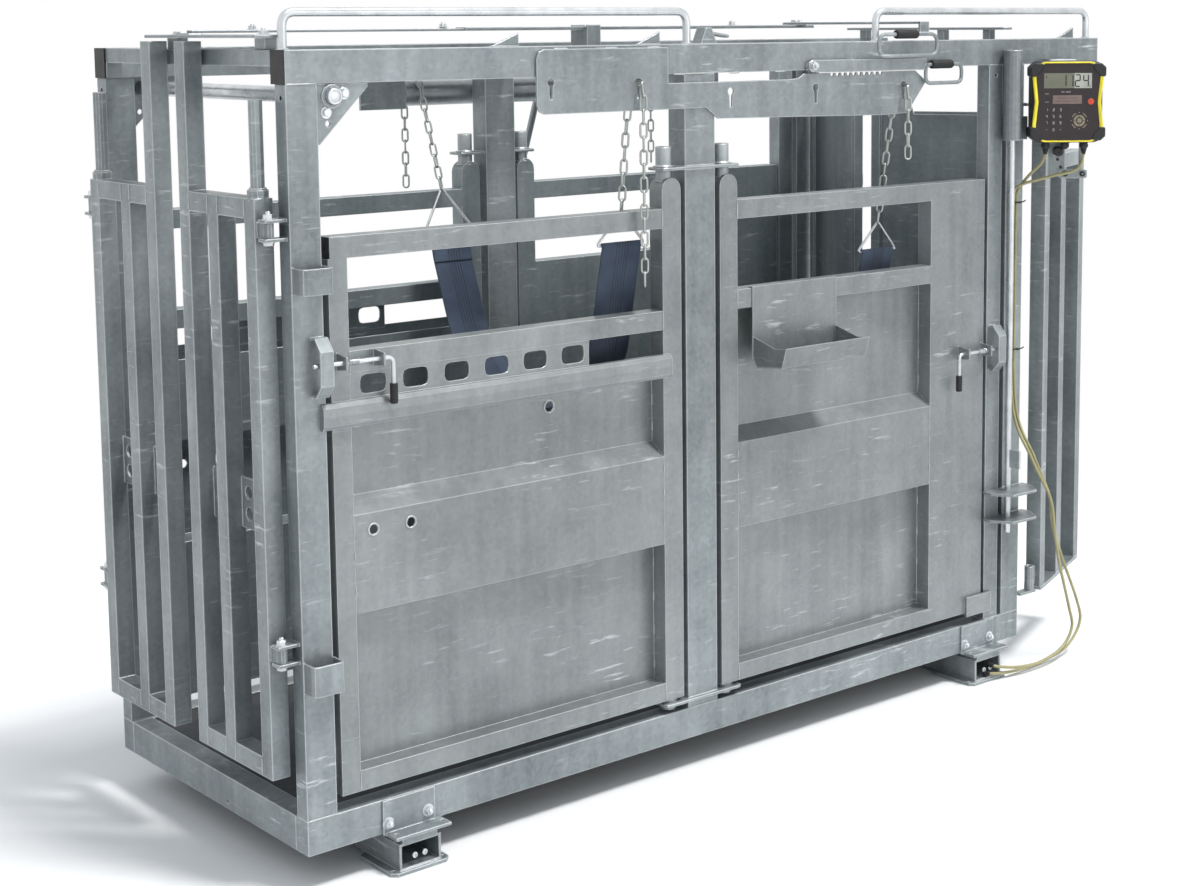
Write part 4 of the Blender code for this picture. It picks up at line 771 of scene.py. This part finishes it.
form = Form()
for name, (gland, route) in CABLE_ROUTES.items():
    mouth = gland_mouth(gland)
    path, length = smooth_route([mouth, mouth + Vector((0.0, 0.0, -0.012)), *route], 0.012)
    data = bpy.data.curves.new(name, "CURVE")
    data.dimensions = "3D"
    data.bevel_depth = 0.005
    data.bevel_resolution = 4
    data.use_fill_caps = True
    spline = data.splines.new("POLY")
    spline.points.add(len(path) - 1)
    for point, place in zip(spline.points, path):
        point.co = (*(place + ORIGIN), 1)
    spline.use_smooth = True
    cable = add(f"{name}_sheath", data)
    data.materials.append(MATERIALS["cable_sheath"])
    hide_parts(name)
    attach(cable, "crush_frame")
    for number, (place, after) in enumerate(((path[0], path[1]), (path[-1], path[-2])), 1):
        form.turned(place, after - place, RELIEF, 20)
        form.piece(f"{name}_relief_{number}", "black_rubber", "black_plastic")
    start = tuple(path[0] + ORIGIN)

# Weigh indicator. Its own frame has X across the panel, Y into it and Z up.
INDICATOR = Matrix.Translation(ORIGIN + Vector(INDICATOR_CENTRE))
form = Form(INDICATOR @ Matrix.Rotation(radians(INDICATOR_TURN), 4, "Z"))
BUMPER = (0.1215, 0.1243)
BUTTON = (0.0733, 0.001)
PAD = (0.037, -0.06)
PANEL_FACE = -0.047
GLASS = (-0.0474, -0.0468)
INK = (-0.0477, -0.0474)
MARK = (-0.0473, -0.047)

corners = oblong(-HALF_WIDTH, HALF_WIDTH, -HALF_HEIGHT, HALF_HEIGHT)
form.prism("XZ", curved(corners, 0.034, 10), -0.0395, 0.0395, 0.006)
for side in (-1, 1):
    for end in (-1, 1):
        corner = [
            (-0.03, 0.018), (0.0, 0.018), (0.0155, 0.004),
            (0.0155, -0.024), (-0.001, -0.029), (-0.024, -0.002),
        ]
        corner = [(side * (BUMPER[0] - 0.0155 + x), end * (BUMPER[1] - 0.018 + z)) for x, z in corner]
        form.prism("XZ", curved(corner, 0.008, 6), -0.0502, 0.0195, 0.0034)
for x in (-0.062, 0.0, 0.062):
    gland = [
        (-0.004, 0.0135), (0.004, 0.014), (0.0045, 0.0122), (0.0065, 0.0122),
        (0.007, 0.014), (0.017, 0.014), (0.0215, 0.0105),
    ]
    form.turned((x, 0, -HALF_HEIGHT + 0.001), DOWN, gland)
    for spot in circle(x, 0, -HALF_HEIGHT - 0.0065, 0.0134, 10):
        form.turned(spot, DOWN, [(0, 0.0011), (0.009, 0.0011)], 6)
plug = [(0.02, 0.01), (0.0222, 0.0095), (0.024, 0.006)]
form.turned((0, 0, -HALF_HEIGHT + 0.001), DOWN, plug, 20)
form.piece("indicator_housing", "black_plastic", "black_plastic", "indicator_case")


def waisted(wide, waist, end, tall, shoulder):
    """An upright outline with drawn-in sides."""
    right = [(end, -tall), (wide, -shoulder), (waist, 0.0), (wide, shoulder), (end, tall)]
    return right + [(-x, z) for x, z in reversed(right)]


outer = curved(waisted(0.115, 0.106, 0.087, HALF_HEIGHT - 0.0025, 0.084), 0.03)
inner = curved(waisted(0.1035, 0.095, 0.082, HALF_HEIGHT - 0.0075, 0.083), 0.028)
shape = [
    (outer, -0.0403, 0.0), (outer, -0.0465, 0.0), (outer, -0.0488, 0.0024),
    (inner, -0.0488, -0.0018), (inner, -0.0476, 0.0), (inner, -0.0403, 0.0),
]
form.skin([[(p.x, y, p.y) for p in (inset(points, by) if by else points)] for points, y, by in shape], True)
form.piece("indicator_rim", "yellow_plastic", "yellow_plastic", "indicator_bezel")

form.prism("XZ", inset(inner, 0.0003), PANEL_FACE, -0.0403, 0.0005)
form.piece("indicator_panel", "panel_brown", "panel", "indicator_face")

profile = [(0, 0.0112), (0.001, 0.0112), (0.0014, 0.0106), (0.001, 0.0102), (0.0008, 0.01)]
form.turned((BUTTON[0], PANEL_FACE, BUTTON[1]), OUT, profile, 32)
form.piece("power_button_collar", "panel_key", "panel")
profile = [(0, 0.0098), (0.006, 0.0098), (0.007, 0.009), (0.0073, 0.007), (0.0072, 0.0)]
form.turned((BUTTON[0], -0.0418, BUTTON[1]), OUT, profile, 32)
form.piece("power_button_cap", "red_rubber", "red_rubber", "power_button", body="button")

for name, finish, x0, x1, z0, z1 in (
    ("main_display_left", "lcd_glass", -0.078, 0.0195, 0.044, 0.092),
    ("main_display_right", "lcd_pale", 0.0197, 0.0755, 0.044, 0.092),
    ("small_display", "lcd_brown", -0.049, 0.044, -0.006, 0.0215),
):
    form.tile(x0, x1, z0, z1, *GLASS)
    form.piece(name, finish, "panel")

# The strokes of a figure from corner to corner of a unit square, and the strokes of each figure
SEGMENTS = {
    "a": ((0, 1), (1, 1)), "b": ((1, 1), (1, 0.5)), "c": ((1, 0.5), (1, 0)), "d": ((0, 0), (1, 0)),
    "e": ((0, 0.5), (0, 0)), "f": ((0, 1), (0, 0.5)), "g": ((0, 0.5), (1, 0.5)),
}
DIGITS = ("abcdef", "bc", "abged", "abgcd", "fgbc", "afgcd", "afgedc", "abc", "abcdefg", "abcdfg")


def digit(form, value, x, z, wide, tall, stroke, y):
    """A figure made of straight strokes, its lower left corner at x and z."""
    for name in DIGITS[value]:
        one, two = (Vector((x + u * wide, z + v * tall)) for u, v in SEGMENTS[name])
        run = (two - one).normalized()
        one = one + run * stroke * 0.35
        two = two - run * stroke * 0.35
        side = Vector((-run.y, run.x)) * stroke / 2
        tip = run * stroke / 2
        outline = [one - tip * 0.4, one - side, two - side, two + tip * 0.4, two + side, one + side]
        form.prism("XZ", outline, y - 0.0003, y)


for value, x in ((1, -0.0225), (1, -0.0005), (2, 0.0225), (4, 0.049)):
    digit(form, value, x, 0.0495, 0.015, 0.037, 0.0036, GLASS[0])
form.turned((0.07, GLASS[0], 0.05), OUT, [(0, 0.0018), (0.0003, 0.0018)], 12)
arrow = [(-0.0715, 0.076), (-0.0685, 0.076), (-0.0685, 0.082), (-0.07, 0.0845), (-0.0715, 0.082)]
form.prism("XZ", arrow, *INK)
for z in (0.0125, 0.003):
    form.tile(-0.034, 0.03, z - 0.0005, z + 0.0005, *INK)
form.piece("display_figures", "lcd_ink", "panel", sharp=20)

for index, value in enumerate((1, 2, 3, 4, 5, 6, 7, 8, 9, None, 0, None)):
    x = (-0.0675, -0.0455, -0.0235)[index % 3]
    z = (-0.025, -0.046, -0.067, -0.089)[index // 3]
    if value is None:
        form.tile(x - 0.002, x + 0.002, z - 0.0006, z + 0.0006, *MARK)
    else:
        digit(form, value, x - 0.0022, z - 0.0038, 0.0044, 0.008, 0.0014, PANEL_FACE)
for z in (0.026, 0.0):
    form.tile(-0.0745, -0.062, z - 0.0006, z + 0.0006, *MARK)
for turn in (0, 90, 180, 270):
    c, s = cos(radians(turn)), sin(radians(turn))
    points = [(0.0255, -0.002), (0.0285, 0.0), (0.0255, 0.002)]
    form.prism("XZ", [(PAD[0] + u * c - v * s, PAD[1] + u * s + v * c) for u, v in points], *MARK)
for x, wide in ((-0.022, 0.01), (-0.008, 0.016)):
    form.tile(x, x + wide, 0.031, 0.033, *MARK)
form.piece("panel_figures", "panel_key_pale", "panel", sharp=20)


def arc(form, radius, wide, first, last, y0, y1):
    """A flat arc of a ring round the pad's middle, between two angles."""
    count = max(4, int((last - first) / 9))
    sections = []
    for step in range(count + 1):
        turn = radians(first + (last - first) * step / count)
        low, high = radius - wide / 2, radius + wide / 2
        spots = [(low, y0), (low, y1), (high, y1), (high, y0)]
        sections.append([(PAD[0] + r * cos(turn), y, PAD[1] + r * sin(turn)) for r, y in spots])
    form.skin(sections)


for start in (0, 90, 180, 270):
    arc(form, 0.015, 0.0072, start + 3, start + 87, -0.0468, -0.0476)
    arc(form, 0.0255, 0.003, start + 26, start + 64, -0.0468, -0.0474)
form.turned((PAD[0], -0.0468, PAD[1]), OUT, [(0, 0.0078), (0.0006, 0.0078), (0.001, 0.007)], 28)
form.piece("direction_keys", "panel_key_tan", "panel")

for x, z, radius, y, tall in (
    (0.01, -0.237, 0.0088, 0.0358, 0.0078),
    (0.066, -0.237, 0.0088, 0.0358, 0.0078),
    (-0.016, -0.163, 0.0157, 0.0402, 0.031),
):
    rim = [(0, radius), (tall - 0.0018, radius), (tall, radius * 0.8), (tall, radius * 0.42)]
    form.turned((x, y, z), OUT, [*rim, (tall - 0.0024, radius * 0.4), (tall - 0.0024, 0.0)], 28)
for x, z in ((-0.014, -0.19), (-0.004, -0.215)):
    form.turned((x, 0.0402, z), OUT, [(0, 0.0052), (0.0022, 0.0048), (0.0026, 0.0036)], 20)
form.piece("bracket_knobs", "black_plastic", "black_plastic")

# Round rails, the head shaft and the winding shaft
form = Form()
GUARD_RAIL_RADIUS = 0.0112
for name, x0, x1 in (("front_guard_rail", 0.012, 1.2885), ("rear_guard_rail", 2.0505, 3.0715)):
    corners = [(x, RAIL_MIDDLE_Y, z) for x, z in ((x0, 2.0003), (x0, 2.09), (x1, 2.09), (x1, 2.0003))]
    form.tube(rounded(corners, 0.037, 10), GUARD_RAIL_RADIUS, 24)
    for x in (x0, x1):
        for spot in circle(x, RAIL_MIDDLE_Y, 2.0004, 0.0118, 14):
            form.turned(spot, UP, [(0, 0.0034), (0.002, 0.003), (0.0034, 0.0014)], 8)
    form.piece(f"{name}_bar", "bright_zinc", "bright_zinc", name)

HEAD_SHAFT = (0.125, 1.887)
HEAD_SHAFT_ENDS = (-0.02, 1.05)
x, z = HEAD_SHAFT
sections = []
for along, radius in (
    (0.0, 0.0185), (0.0015, 0.02), (1.0685, 0.02), (1.07, 0.0185), (1.07, 0.016), (0.0, 0.016),
):
    y = HEAD_SHAFT_ENDS[0] + along
    sections.append([(u, y, v) for u, v, _ in circle(x, z, 0, radius, 32)])
form.skin(sections, True)
for y, out in zip(HEAD_SHAFT_ENDS, (1, -1)):
    form.turned((x, y + 0.0012 * out, z), (0, out, 0), [(0, 0.015), (0.0006, 0.0161), (0.006, 0.0161)], 28)
form.piece("head_shaft_tube", "bright_zinc", "galvanised", "head_shaft")

rim = WINDING_RADIUS - 0.001
profile = [(0, 0.016), (0, rim), (0.001, WINDING_RADIUS), (1.147, WINDING_RADIUS), (1.148, rim)]
form.turned((1.012, *WINDING_SHAFT), ALONG, [*profile, (1.148, 0.016)], 40)
axle = [(0, 0.0145), (0.0015, 0.016), (1.2205, 0.016), (1.222, 0.0145)]
form.turned((0.975, *WINDING_SHAFT), ALONG, axle)
turning_bar = [(0.03, 0.011), (0.284, 0.011), (0.2857, 0.009)]
form.turned((1.55, *WINDING_SHAFT), (0, 0.107, -0.265), turning_bar, 20)
form.piece("winding_shaft_tube", "galvanised_round", "galvanised", "winding_shaft", body="strap_winder")


# Latches, levers and the lock rod
def spring(form, start, axis, length, radius, wire, turns):
    """A coil spring round an axis."""
    axis, side, other = square(axis)
    path = []
    count = turns * 12
    for step in range(count + 1):
        turn = 2 * pi * turns * step / count
        along = wire + (length - 2 * wire) * step / count
        path.append(Vector(start) + axis * along + (side * cos(turn) + other * sin(turn)) * radius)
    form.tube(path, wire, 6)


LATCH_OUT = -0.03
LATCH_GRIP = [(0.0, 0.0086), (0.0012, 0.01), (0.048, 0.01), (0.051, 0.0088), (0.052, 0.006)]
LATCH_RIB = [(0, 0.0099), (0.0008, 0.0104), (0.0028, 0.0104), (0.0036, 0.0099)]
for row, tip, handle, z in (("front", 0.036, 0.263, FRONT_LATCH_Z), ("rear", 2.597, 2.38, REAR_LATCH_Z)):
    for side, place, _ in SIDES:
        y = place(LATCH_OUT)
        toward = copysign(1, handle - tip)
        run = rounded([(tip + toward * 0.003, y, z), (handle, y, z), (handle, y, z - 0.112)], 0.016, 8)
        run = [(tip, y, z), (tip + toward * 0.001, y, z), *run]
        form.tube(run, [0.0046, 0.0056] + [0.0059] * (len(run) - 2), 20)
        spring(form, (tip + toward * 0.0905, y, z), (toward, 0, 0), 0.034, 0.0078, 0.0011, 7)
        stop = [(0, 0.0092), (0.0015, 0.0094), (0.0015, 0.0058)]
        form.turned((tip + toward * 0.1245, y, z), (toward, 0, 0), stop, 20)
        name, body = f"{side}_{row}_latch", f"{side}_{row}_bolt"
        form.piece(f"{name}_rod", "bright_zinc", "bright_zinc", name, body=body)
        form.turned((handle, y, z - 0.0665), DOWN, LATCH_GRIP)
        for rib in range(5):
            form.turned((handle, y, z - 0.074 - 0.0085 * rib), DOWN, LATCH_RIB, 20)
        form.piece(f"{name}_grip", "black_rubber", "bright_zinc", body=body)


def lever_grip(form, name, body, start, length, radius, rib):
    """A ribbed rubber sleeve on the upper bar of a lever's loop."""
    x, y, z = start
    first = [(0, 0.01), (0.002, 0.0128), (0.004, radius), (length - 0.004, radius)]
    form.turned(start, ALONG, [*first, (length - 0.0015, radius - 0.0012), (length, 0.0095)], 28)
    for step in range(11):
        profile = [(0, rib - 0.0005), (0.0008, rib), (0.003, rib), (0.0038, rib - 0.0005)]
        form.turned((x + 0.0065 + 0.0078 * step, y, z), ALONG, profile)
    form.piece(name, "black_rubber", "galvanised", body=body)


def lever_loop(form, x0, x1, y, z0, z1, radius):
    """A lever's handle, bent from round bar."""
    corners = [(x, y, z) for x, z in oblong(x0, x1, z0, z1)]
    form.tube(curved(corners, radius, 9), 0.0059, 20, True)


form.box(2.165, 2.205, -0.0485, 0.56, 2.0505, 2.0582, 0.0012)
form.box(2.165, 2.205, -0.0488, -0.0412, 2.017, 2.0575, 0.001)
lever_loop(form, 1.987, 2.246, -0.045, 1.955, 2.02, 0.031)
form.piece("head_lever_bar", "galvanised", "galvanised", "head_lever", body="gate_control")
lever_grip(form, "head_lever_grip", "gate_control", (2.06, -0.045, 2.02), 0.094, 0.0134, 0.0137)

PAWL_OUT = -0.0168
bar = [
    (1.725, 1.92), (1.74, 1.912), (1.8, 1.91), (2.235, 1.91),
    (2.235, 1.945), (1.74, 1.948), (1.725, 1.94),
]
form.prism("XZ", curved(bar, 0.004, 3), -0.0145, -0.0067, 0.0008)
lever_loop(form, 2.2262, 2.392, PAWL_OUT, 1.868, 1.926, 0.023)
form.piece("pawl_bar", "galvanised", "galvanised", "pawl_lever", body="pawl")
lever_grip(form, "pawl_grip", "pawl", (2.25, PAWL_OUT, 1.926), 0.095, 0.0136, 0.0138)

x, y = 2.62, -0.035
form.turned((x, y, 0.38), UP, [(0, 0.0088), (0.0012, 0.01), (1.4588, 0.01), (1.46, 0.0088)])
form.box(x - 0.004, x + 0.004, y - 0.05, y - 0.004, 0.6, 0.66, 0.001)
form.turned((x, y, 1.8), UP, [(0, 0.0225), (0.0012, 0.0238), (0.0108, 0.0238), (0.012, 0.0225)], 28)
form.piece("lock_rod_bar", "bright_zinc", "bright_zinc", "lock_rod", body="door_lock")


# Fasteners and welds
def bolt(form, base, axis, radius, washer, nut=False):
    """A hexagon head on a washer, or a nut with its bolt's end standing out of it."""
    axis = Vector(axis).normalized()
    base = Vector(base)
    thick = radius * 0.16
    disc = [(0, radius * washer), (thick * 0.7, radius * washer), (thick, radius * washer - thick * 0.4)]
    form.turned(base, axis, disc)
    form.hexagon(base + axis * thick, axis, radius, radius * (0.85 if nut else 0.66), radius * 0.12)
    if nut:
        stud = [(0, radius * 0.52), (radius * 1.25, radius * 0.52), (radius * 1.38, radius * 0.42)]
        form.turned(base + axis * thick, axis, stud, 16)
    else:
        crown = [(0, radius * 0.82), (radius * 0.09, radius * 0.78)]
        form.turned(base + axis * (thick + radius * 0.6), axis, crown)


def bead(form, path, radius, seed=0.0, closed=False):
    """A weld's rippled bead along a path."""
    points, _ = evenly(path + path[:1] if closed else path, 0.0022)
    last = len(points) - 1
    sizes = []
    for index in range(last + 1):
        ripple = 0.84 + 0.16 * cos(index * 2.15 + seed)
        wander = 0.1 * sin(index * 0.31 + seed * 3)
        sizes.append(radius * (ripple + wander) * min(1.0, 0.45 + 0.3 * min(index, last - index)))
    form.tube(points, sizes, 8)


def welds(form, name, body="crush_frame"):
    form.piece(name, "weld_metal", "galvanised", body=body, sharp=60)


def bolts(form, name, body="crush_frame"):
    form.piece(name, "bright_zinc", "galvanised", body=body, sharp=30)


def level(form, x0, x1, y, z, radius, seed=0.0):
    """A weld along the crush."""
    bead(form, [(x0, y, z), (x1, y, z)], radius, seed)


def upright(form, x, y, z0, z1, radius, seed=0.0):
    """A weld that runs up."""
    bead(form, [(x, y, z0), (x, y, z1)], radius, seed)


# Each row's hinge, its hinge stile's seam, the rails' lower and upper edges, the sheet's edges and the
# latch's ears and height
DOORS = {
    "front": (
        1.2, 1.1692, ((1.4905, 1.545), (1.205, 1.259), (0.13, 0.184)),
        (0.1565, 1.1685), (0.1205, 0.2275), FRONT_LATCH_Z,
    ),
    "rear": (
        1.415, 1.4508, ((1.498, 1.553), (1.237, 1.293), (0.13, 0.18)),
        (1.4515, 2.2755), (2.4105, 2.5175), REAR_LATCH_Z,
    ),
}
HINGE_PIN = [
    (0, 0.0224), (0.115, 0.0224), (0.1162, 0.0216), (0.1162, 0.017), (0.114, 0.0162), (0.114, 0),
]
HINGE_WASHER = [(0, 0.029), (0.0022, 0.029), (0.003, 0.0282), (0.003, 0.0226)]
CAP_SCREW = [
    (0, 0.0085), (0.0008, 0.0085), (0.0012, 0.0078), (0.0012, 0.006), (0.0004, 0.0055), (0.0004, 0),
]
# The bushed round holes of a front door: x, z, how deep their face lies, and radius
HOLES = ((0.212, 0.8, 0.0, 0.0148), (0.323, 0.8, 0.0, 0.0148), (0.806, 1.028, 0.052, 0.0166))
for row, (hinge_x, seam, rails, sheet, ears, latch_z) in DOORS.items():
    for side, place, outward in SIDES:
        name = f"{side}_{row}_door"
        body = f"{name}_leaf"
        hinge_y = place(RAIL_MIDDLE_Y)
        form.turned((hinge_x, hinge_y, 1.6), UP, HINGE_PIN, 32)
        form.turned((hinge_x, hinge_y, 1.6595), UP, HINGE_WASHER, 32)
        form.piece(f"{name}_hinge_pin", "galvanised_round", "galvanised", body=body)
        bead(form, circle(hinge_x, hinge_y, 1.6205, 0.024, 24), 0.0034, 0.4, True)
        face = place(0.0) + 0.0004 * outward
        for low, high in rails:
            upright(form, seam, face, low + 0.002, high - 0.002, 0.0021, low)
        if row == "front":
            for low, high in ((1.207, 1.257), (0.132, 0.182)):
                upright(form, 0.1558, face, low, high, 0.0021, high)
            level(form, 0.1585, 0.1045, place(0.052), 1.4903, 0.0022)
            for x in (0.158, 1.166):
                bead(form, [(x, place(-0.0005), 1.069), (x + 0.022, place(-0.0005), 1.068)], 0.0026, x)
        for x, turn in zip(sheet, (1, -1)):
            for low in (0.215, 0.315, 0.415, 0.515, 0.91, 0.99):
                upright(form, x + 0.0008 * turn, place(0.0505), low, low + 0.028, 0.003, low)
            for low in (0.64, 0.73, 0.8):
                upright(form, x + 0.0004 * turn, place(-0.0002), low, low + 0.022, 0.0022, low)
        for x in ears:
            for shift in (-0.0034, 0.0034):
                upright(form, x + shift, place(-0.0006), latch_z - 0.021, latch_z + 0.021, 0.0021, shift)
        if row == "front":
            for x, z, y, radius in HOLES:
                rim = [(u, place(y), v) for u, v, _ in circle(x, z, 0, radius, 36)]
                bead(form, rim, 0.0034, x, True)
        welds(form, f"{name}_welds", body)
        if row == "front":
            low, high = sorted((place(0.0015), place(0.0535)))
            corners = oblong(low, high, 1.4925, 1.5435)
            form.prism("YZ", curved(corners, 0.003, 3), 0.106, 0.1081, 0.0006)
            form.turned((0.1061, place(0.0275), 1.518), (-1, 0, 0), CAP_SCREW)
            form.piece(f"{name}_cap", "black_plastic", "black_plastic", body=body)

for side, place, outward in SIDES:
    face = place(0.0) + 0.0004 * outward
    for x0, x1 in ((0.0, 0.085), (1.254, 1.365), (2.546, 2.612), (2.634, 2.718)):
        level(form, x0 + 0.003, x1 - 0.003, face, SILL_TOP + 0.0002, 0.0024, x0)
        level(form, x0 + 0.003, x1 - 0.003, face, RAIL_FOOT - 0.0002, 0.0024, x1)
        for x, turn in ((x0, -1), (x1, 1)):
            if 0.0 < x < 2.7:
                for z in (SILL_TOP + 0.0008, RAIL_FOOT - 0.0008):
                    u = x + 0.0006 * turn
                    bead(form, [(u, place(0.004), z), (u, place(0.046), z)], 0.003, x)
    for low, high in ((1.651, 1.659), (0.112, 0.12)):
        for z in (low - 0.0012, high + 0.0012):
            level(form, 1.257, 1.362, place(-0.0012), z, 0.003, z)
    for low, high in ((1.413, 1.478), (0.42, 0.497)):
        upright(form, 0.002, place(-0.001), low + 0.003, high - 0.003, 0.0024, low)
    for x0, x1, middle in ((0.048, 0.085, 1.2295), (2.556, 2.592, 1.0)):
        for z in (middle - 0.0735, middle + 0.0735):
            level(form, x0 + 0.002, x1 - 0.002, place(-0.0008), z, 0.003, z)
    level(form, 0.087, 0.226, place(0.0048), 1.916, 0.0026)
    upright(form, 0.0857, place(0.0048), 1.776, 1.91, 0.0026, 2.0)
    welds(form, f"{side}_frame_welds")

for x in (0.8, 0.97, 1.12):
    level(form, x, x + 0.045, -0.0016, 1.9925, 0.003, x)
for x in (1.215, 1.42, 1.6):
    level(form, x, x + 0.04, -0.0016, 1.9168, 0.0026, x)
for x0, x1 in ((0.615, 0.706), (1.102, 1.188), (2.918, 3.002)):
    for y, seed in ((0.0262, x0), (0.0338, x1)):
        level(form, x0 + 0.003, x1 - 0.003, y, RAIL_TOP + 0.0008, 0.0024, seed)
for z in (1.674, 1.753):
    level(form, 2.642, 2.688, -0.001, z, 0.003, z)
for z in (0.426, 0.434, 0.516, 0.524):
    level(form, 2.642, 2.71, -0.0012, z, 0.0026, z)
for z in (0.1488, 1.7908):
    bead(form, [(2.7185, -0.012, z), (2.7185, 0.012, z)], 0.0026)
welds(form, "near_rail_welds")

# Bolts, nuts and the pins of the head gates' hinges
for side, place, outward in SIDES:
    x, y = -0.04, place(RAIL_MIDDLE_Y)
    for height in (0.52, 1.57):
        bolt(form, (x, y, height + 0.0272), UP, 0.0125, 1.3, True)
        washer = [(0, 0.016), (0.0016, 0.016), (0.002, 0.0154)]
        form.turned((x, y, height - 0.0272), DOWN, washer, 28)
        form.hexagon((x, y, height - 0.029), DOWN, 0.0132, 0.0085, 0.0014)
    for x, z in ((0.163, 1.893), (0.112, 1.848)):
        bolt(form, (x, place(0.0048), z), (0, outward, 0), 0.0112, 1.35)
    bolts(form, f"{side}_hinge_bolts")

for x in (0.87, 0.974, 2.198, 2.27):
    bolt(form, (x, far(-0.0058), 1.96), (0, 1, 0), 0.0118, 1.35)
bolt(form, (-0.01, 0.08, 2.0364), UP, 0.0108, 1.45, True)
for y in (0.125, 0.585):
    bolt(form, (0.02, y, 2.0364), UP, 0.0098, 1.45)
bolt(form, (1.74, -0.015, 1.93), OUT, 0.0135, 1.2, True)
bolts(form, "rail_bolts")

for x, z in ((0.8, 2.0502), (0.2, 2.0472), (1.9, 2.0502)):
    bolt(form, (x, 0.515, z), UP, 0.0105, 1.45, True)
for y in (0.5, 0.53):
    bolt(form, (2.185, y, 2.0585), UP, 0.009, 1.4)
bolts(form, "push_bar_bolts", "gate_control")

# Cable ties
for number, z in enumerate((1.47, 0.985), 1):
    band = [(x, y, z) for x, y in oblong(2.6485, 2.68, -0.02, -0.0045)]
    form.sweep(curved(band, 0.006, 5), oblong(-0.0006, 0.0006, -0.0023, 0.0023), True)
    form.box(2.674, 2.681, -0.0255, -0.0195, z - 0.0032, z + 0.0032, 0.0006)
    tail = [(2.679, -0.0235, z), (2.688, -0.0285, z + 0.002), (2.698, -0.03, z + 0.006)]
    form.sweep(tail, oblong(-0.0005, 0.0005, -0.002, 0.002))
    form.piece(f"cable_tie_{number}", "black_plastic", "black_plastic")

# Load bar bolts, and the screws in the load bars' ends
SOCKET_SCREW = [(0, 0.0078), (0.004, 0.0078), (0.0046, 0.007), (0.0046, 0.0042), (0.0016, 0.004)]
for row, centre in zip(("front", "rear"), LOAD_BARS):
    for _, place, outward in SIDES:
        for x, z in ((centre - 0.0685, 0.027), (centre + 0.0525, 0.03)):
            bolt(form, (x, place(-0.0065), z), (0, outward, 0), 0.0118, 1.45, True)
        for x in (centre - 0.015, centre + 0.015):
            form.turned((x, place(-0.0418), -0.06), (0, outward, 0), SOCKET_SCREW)
        level(form, centre - 0.058, centre + 0.058, place(-0.048), -0.09, 0.003)
    bolts(form, f"{row}_load_bar_bolts")

# Head gate welds
for side, place, _ in SIDES:
    bead(form, circle(-0.035, place(0.085), 1.6668, 0.018, 24), 0.0042, 0.2, True)
    rim = [(0, 0.0174), (0.0016, 0.017), (0.0016, 0.014)]
    form.turned((-0.035, place(0.085), 1.8798), UP, rim, 28)
    for y in (0.1102, 0.2468, 0.2972, 0.3958):
        for z in (0.199, 1.599):
            for x in (-0.0604, -0.0096):
                upright(form, x, place(y), z, z + 0.042, 0.0022, y)
    for z in (0.8005, 0.9295):
        for y in (0.246, 0.396):
            run = [(-0.0184, place(y + 0.004), z), (-0.0184, place(min(y + 0.046, 0.399)), z)]
            bead(form, run, 0.0024, z)
    welds(form, f"{side}_head_gate_welds", f"{side}_head_leaf")
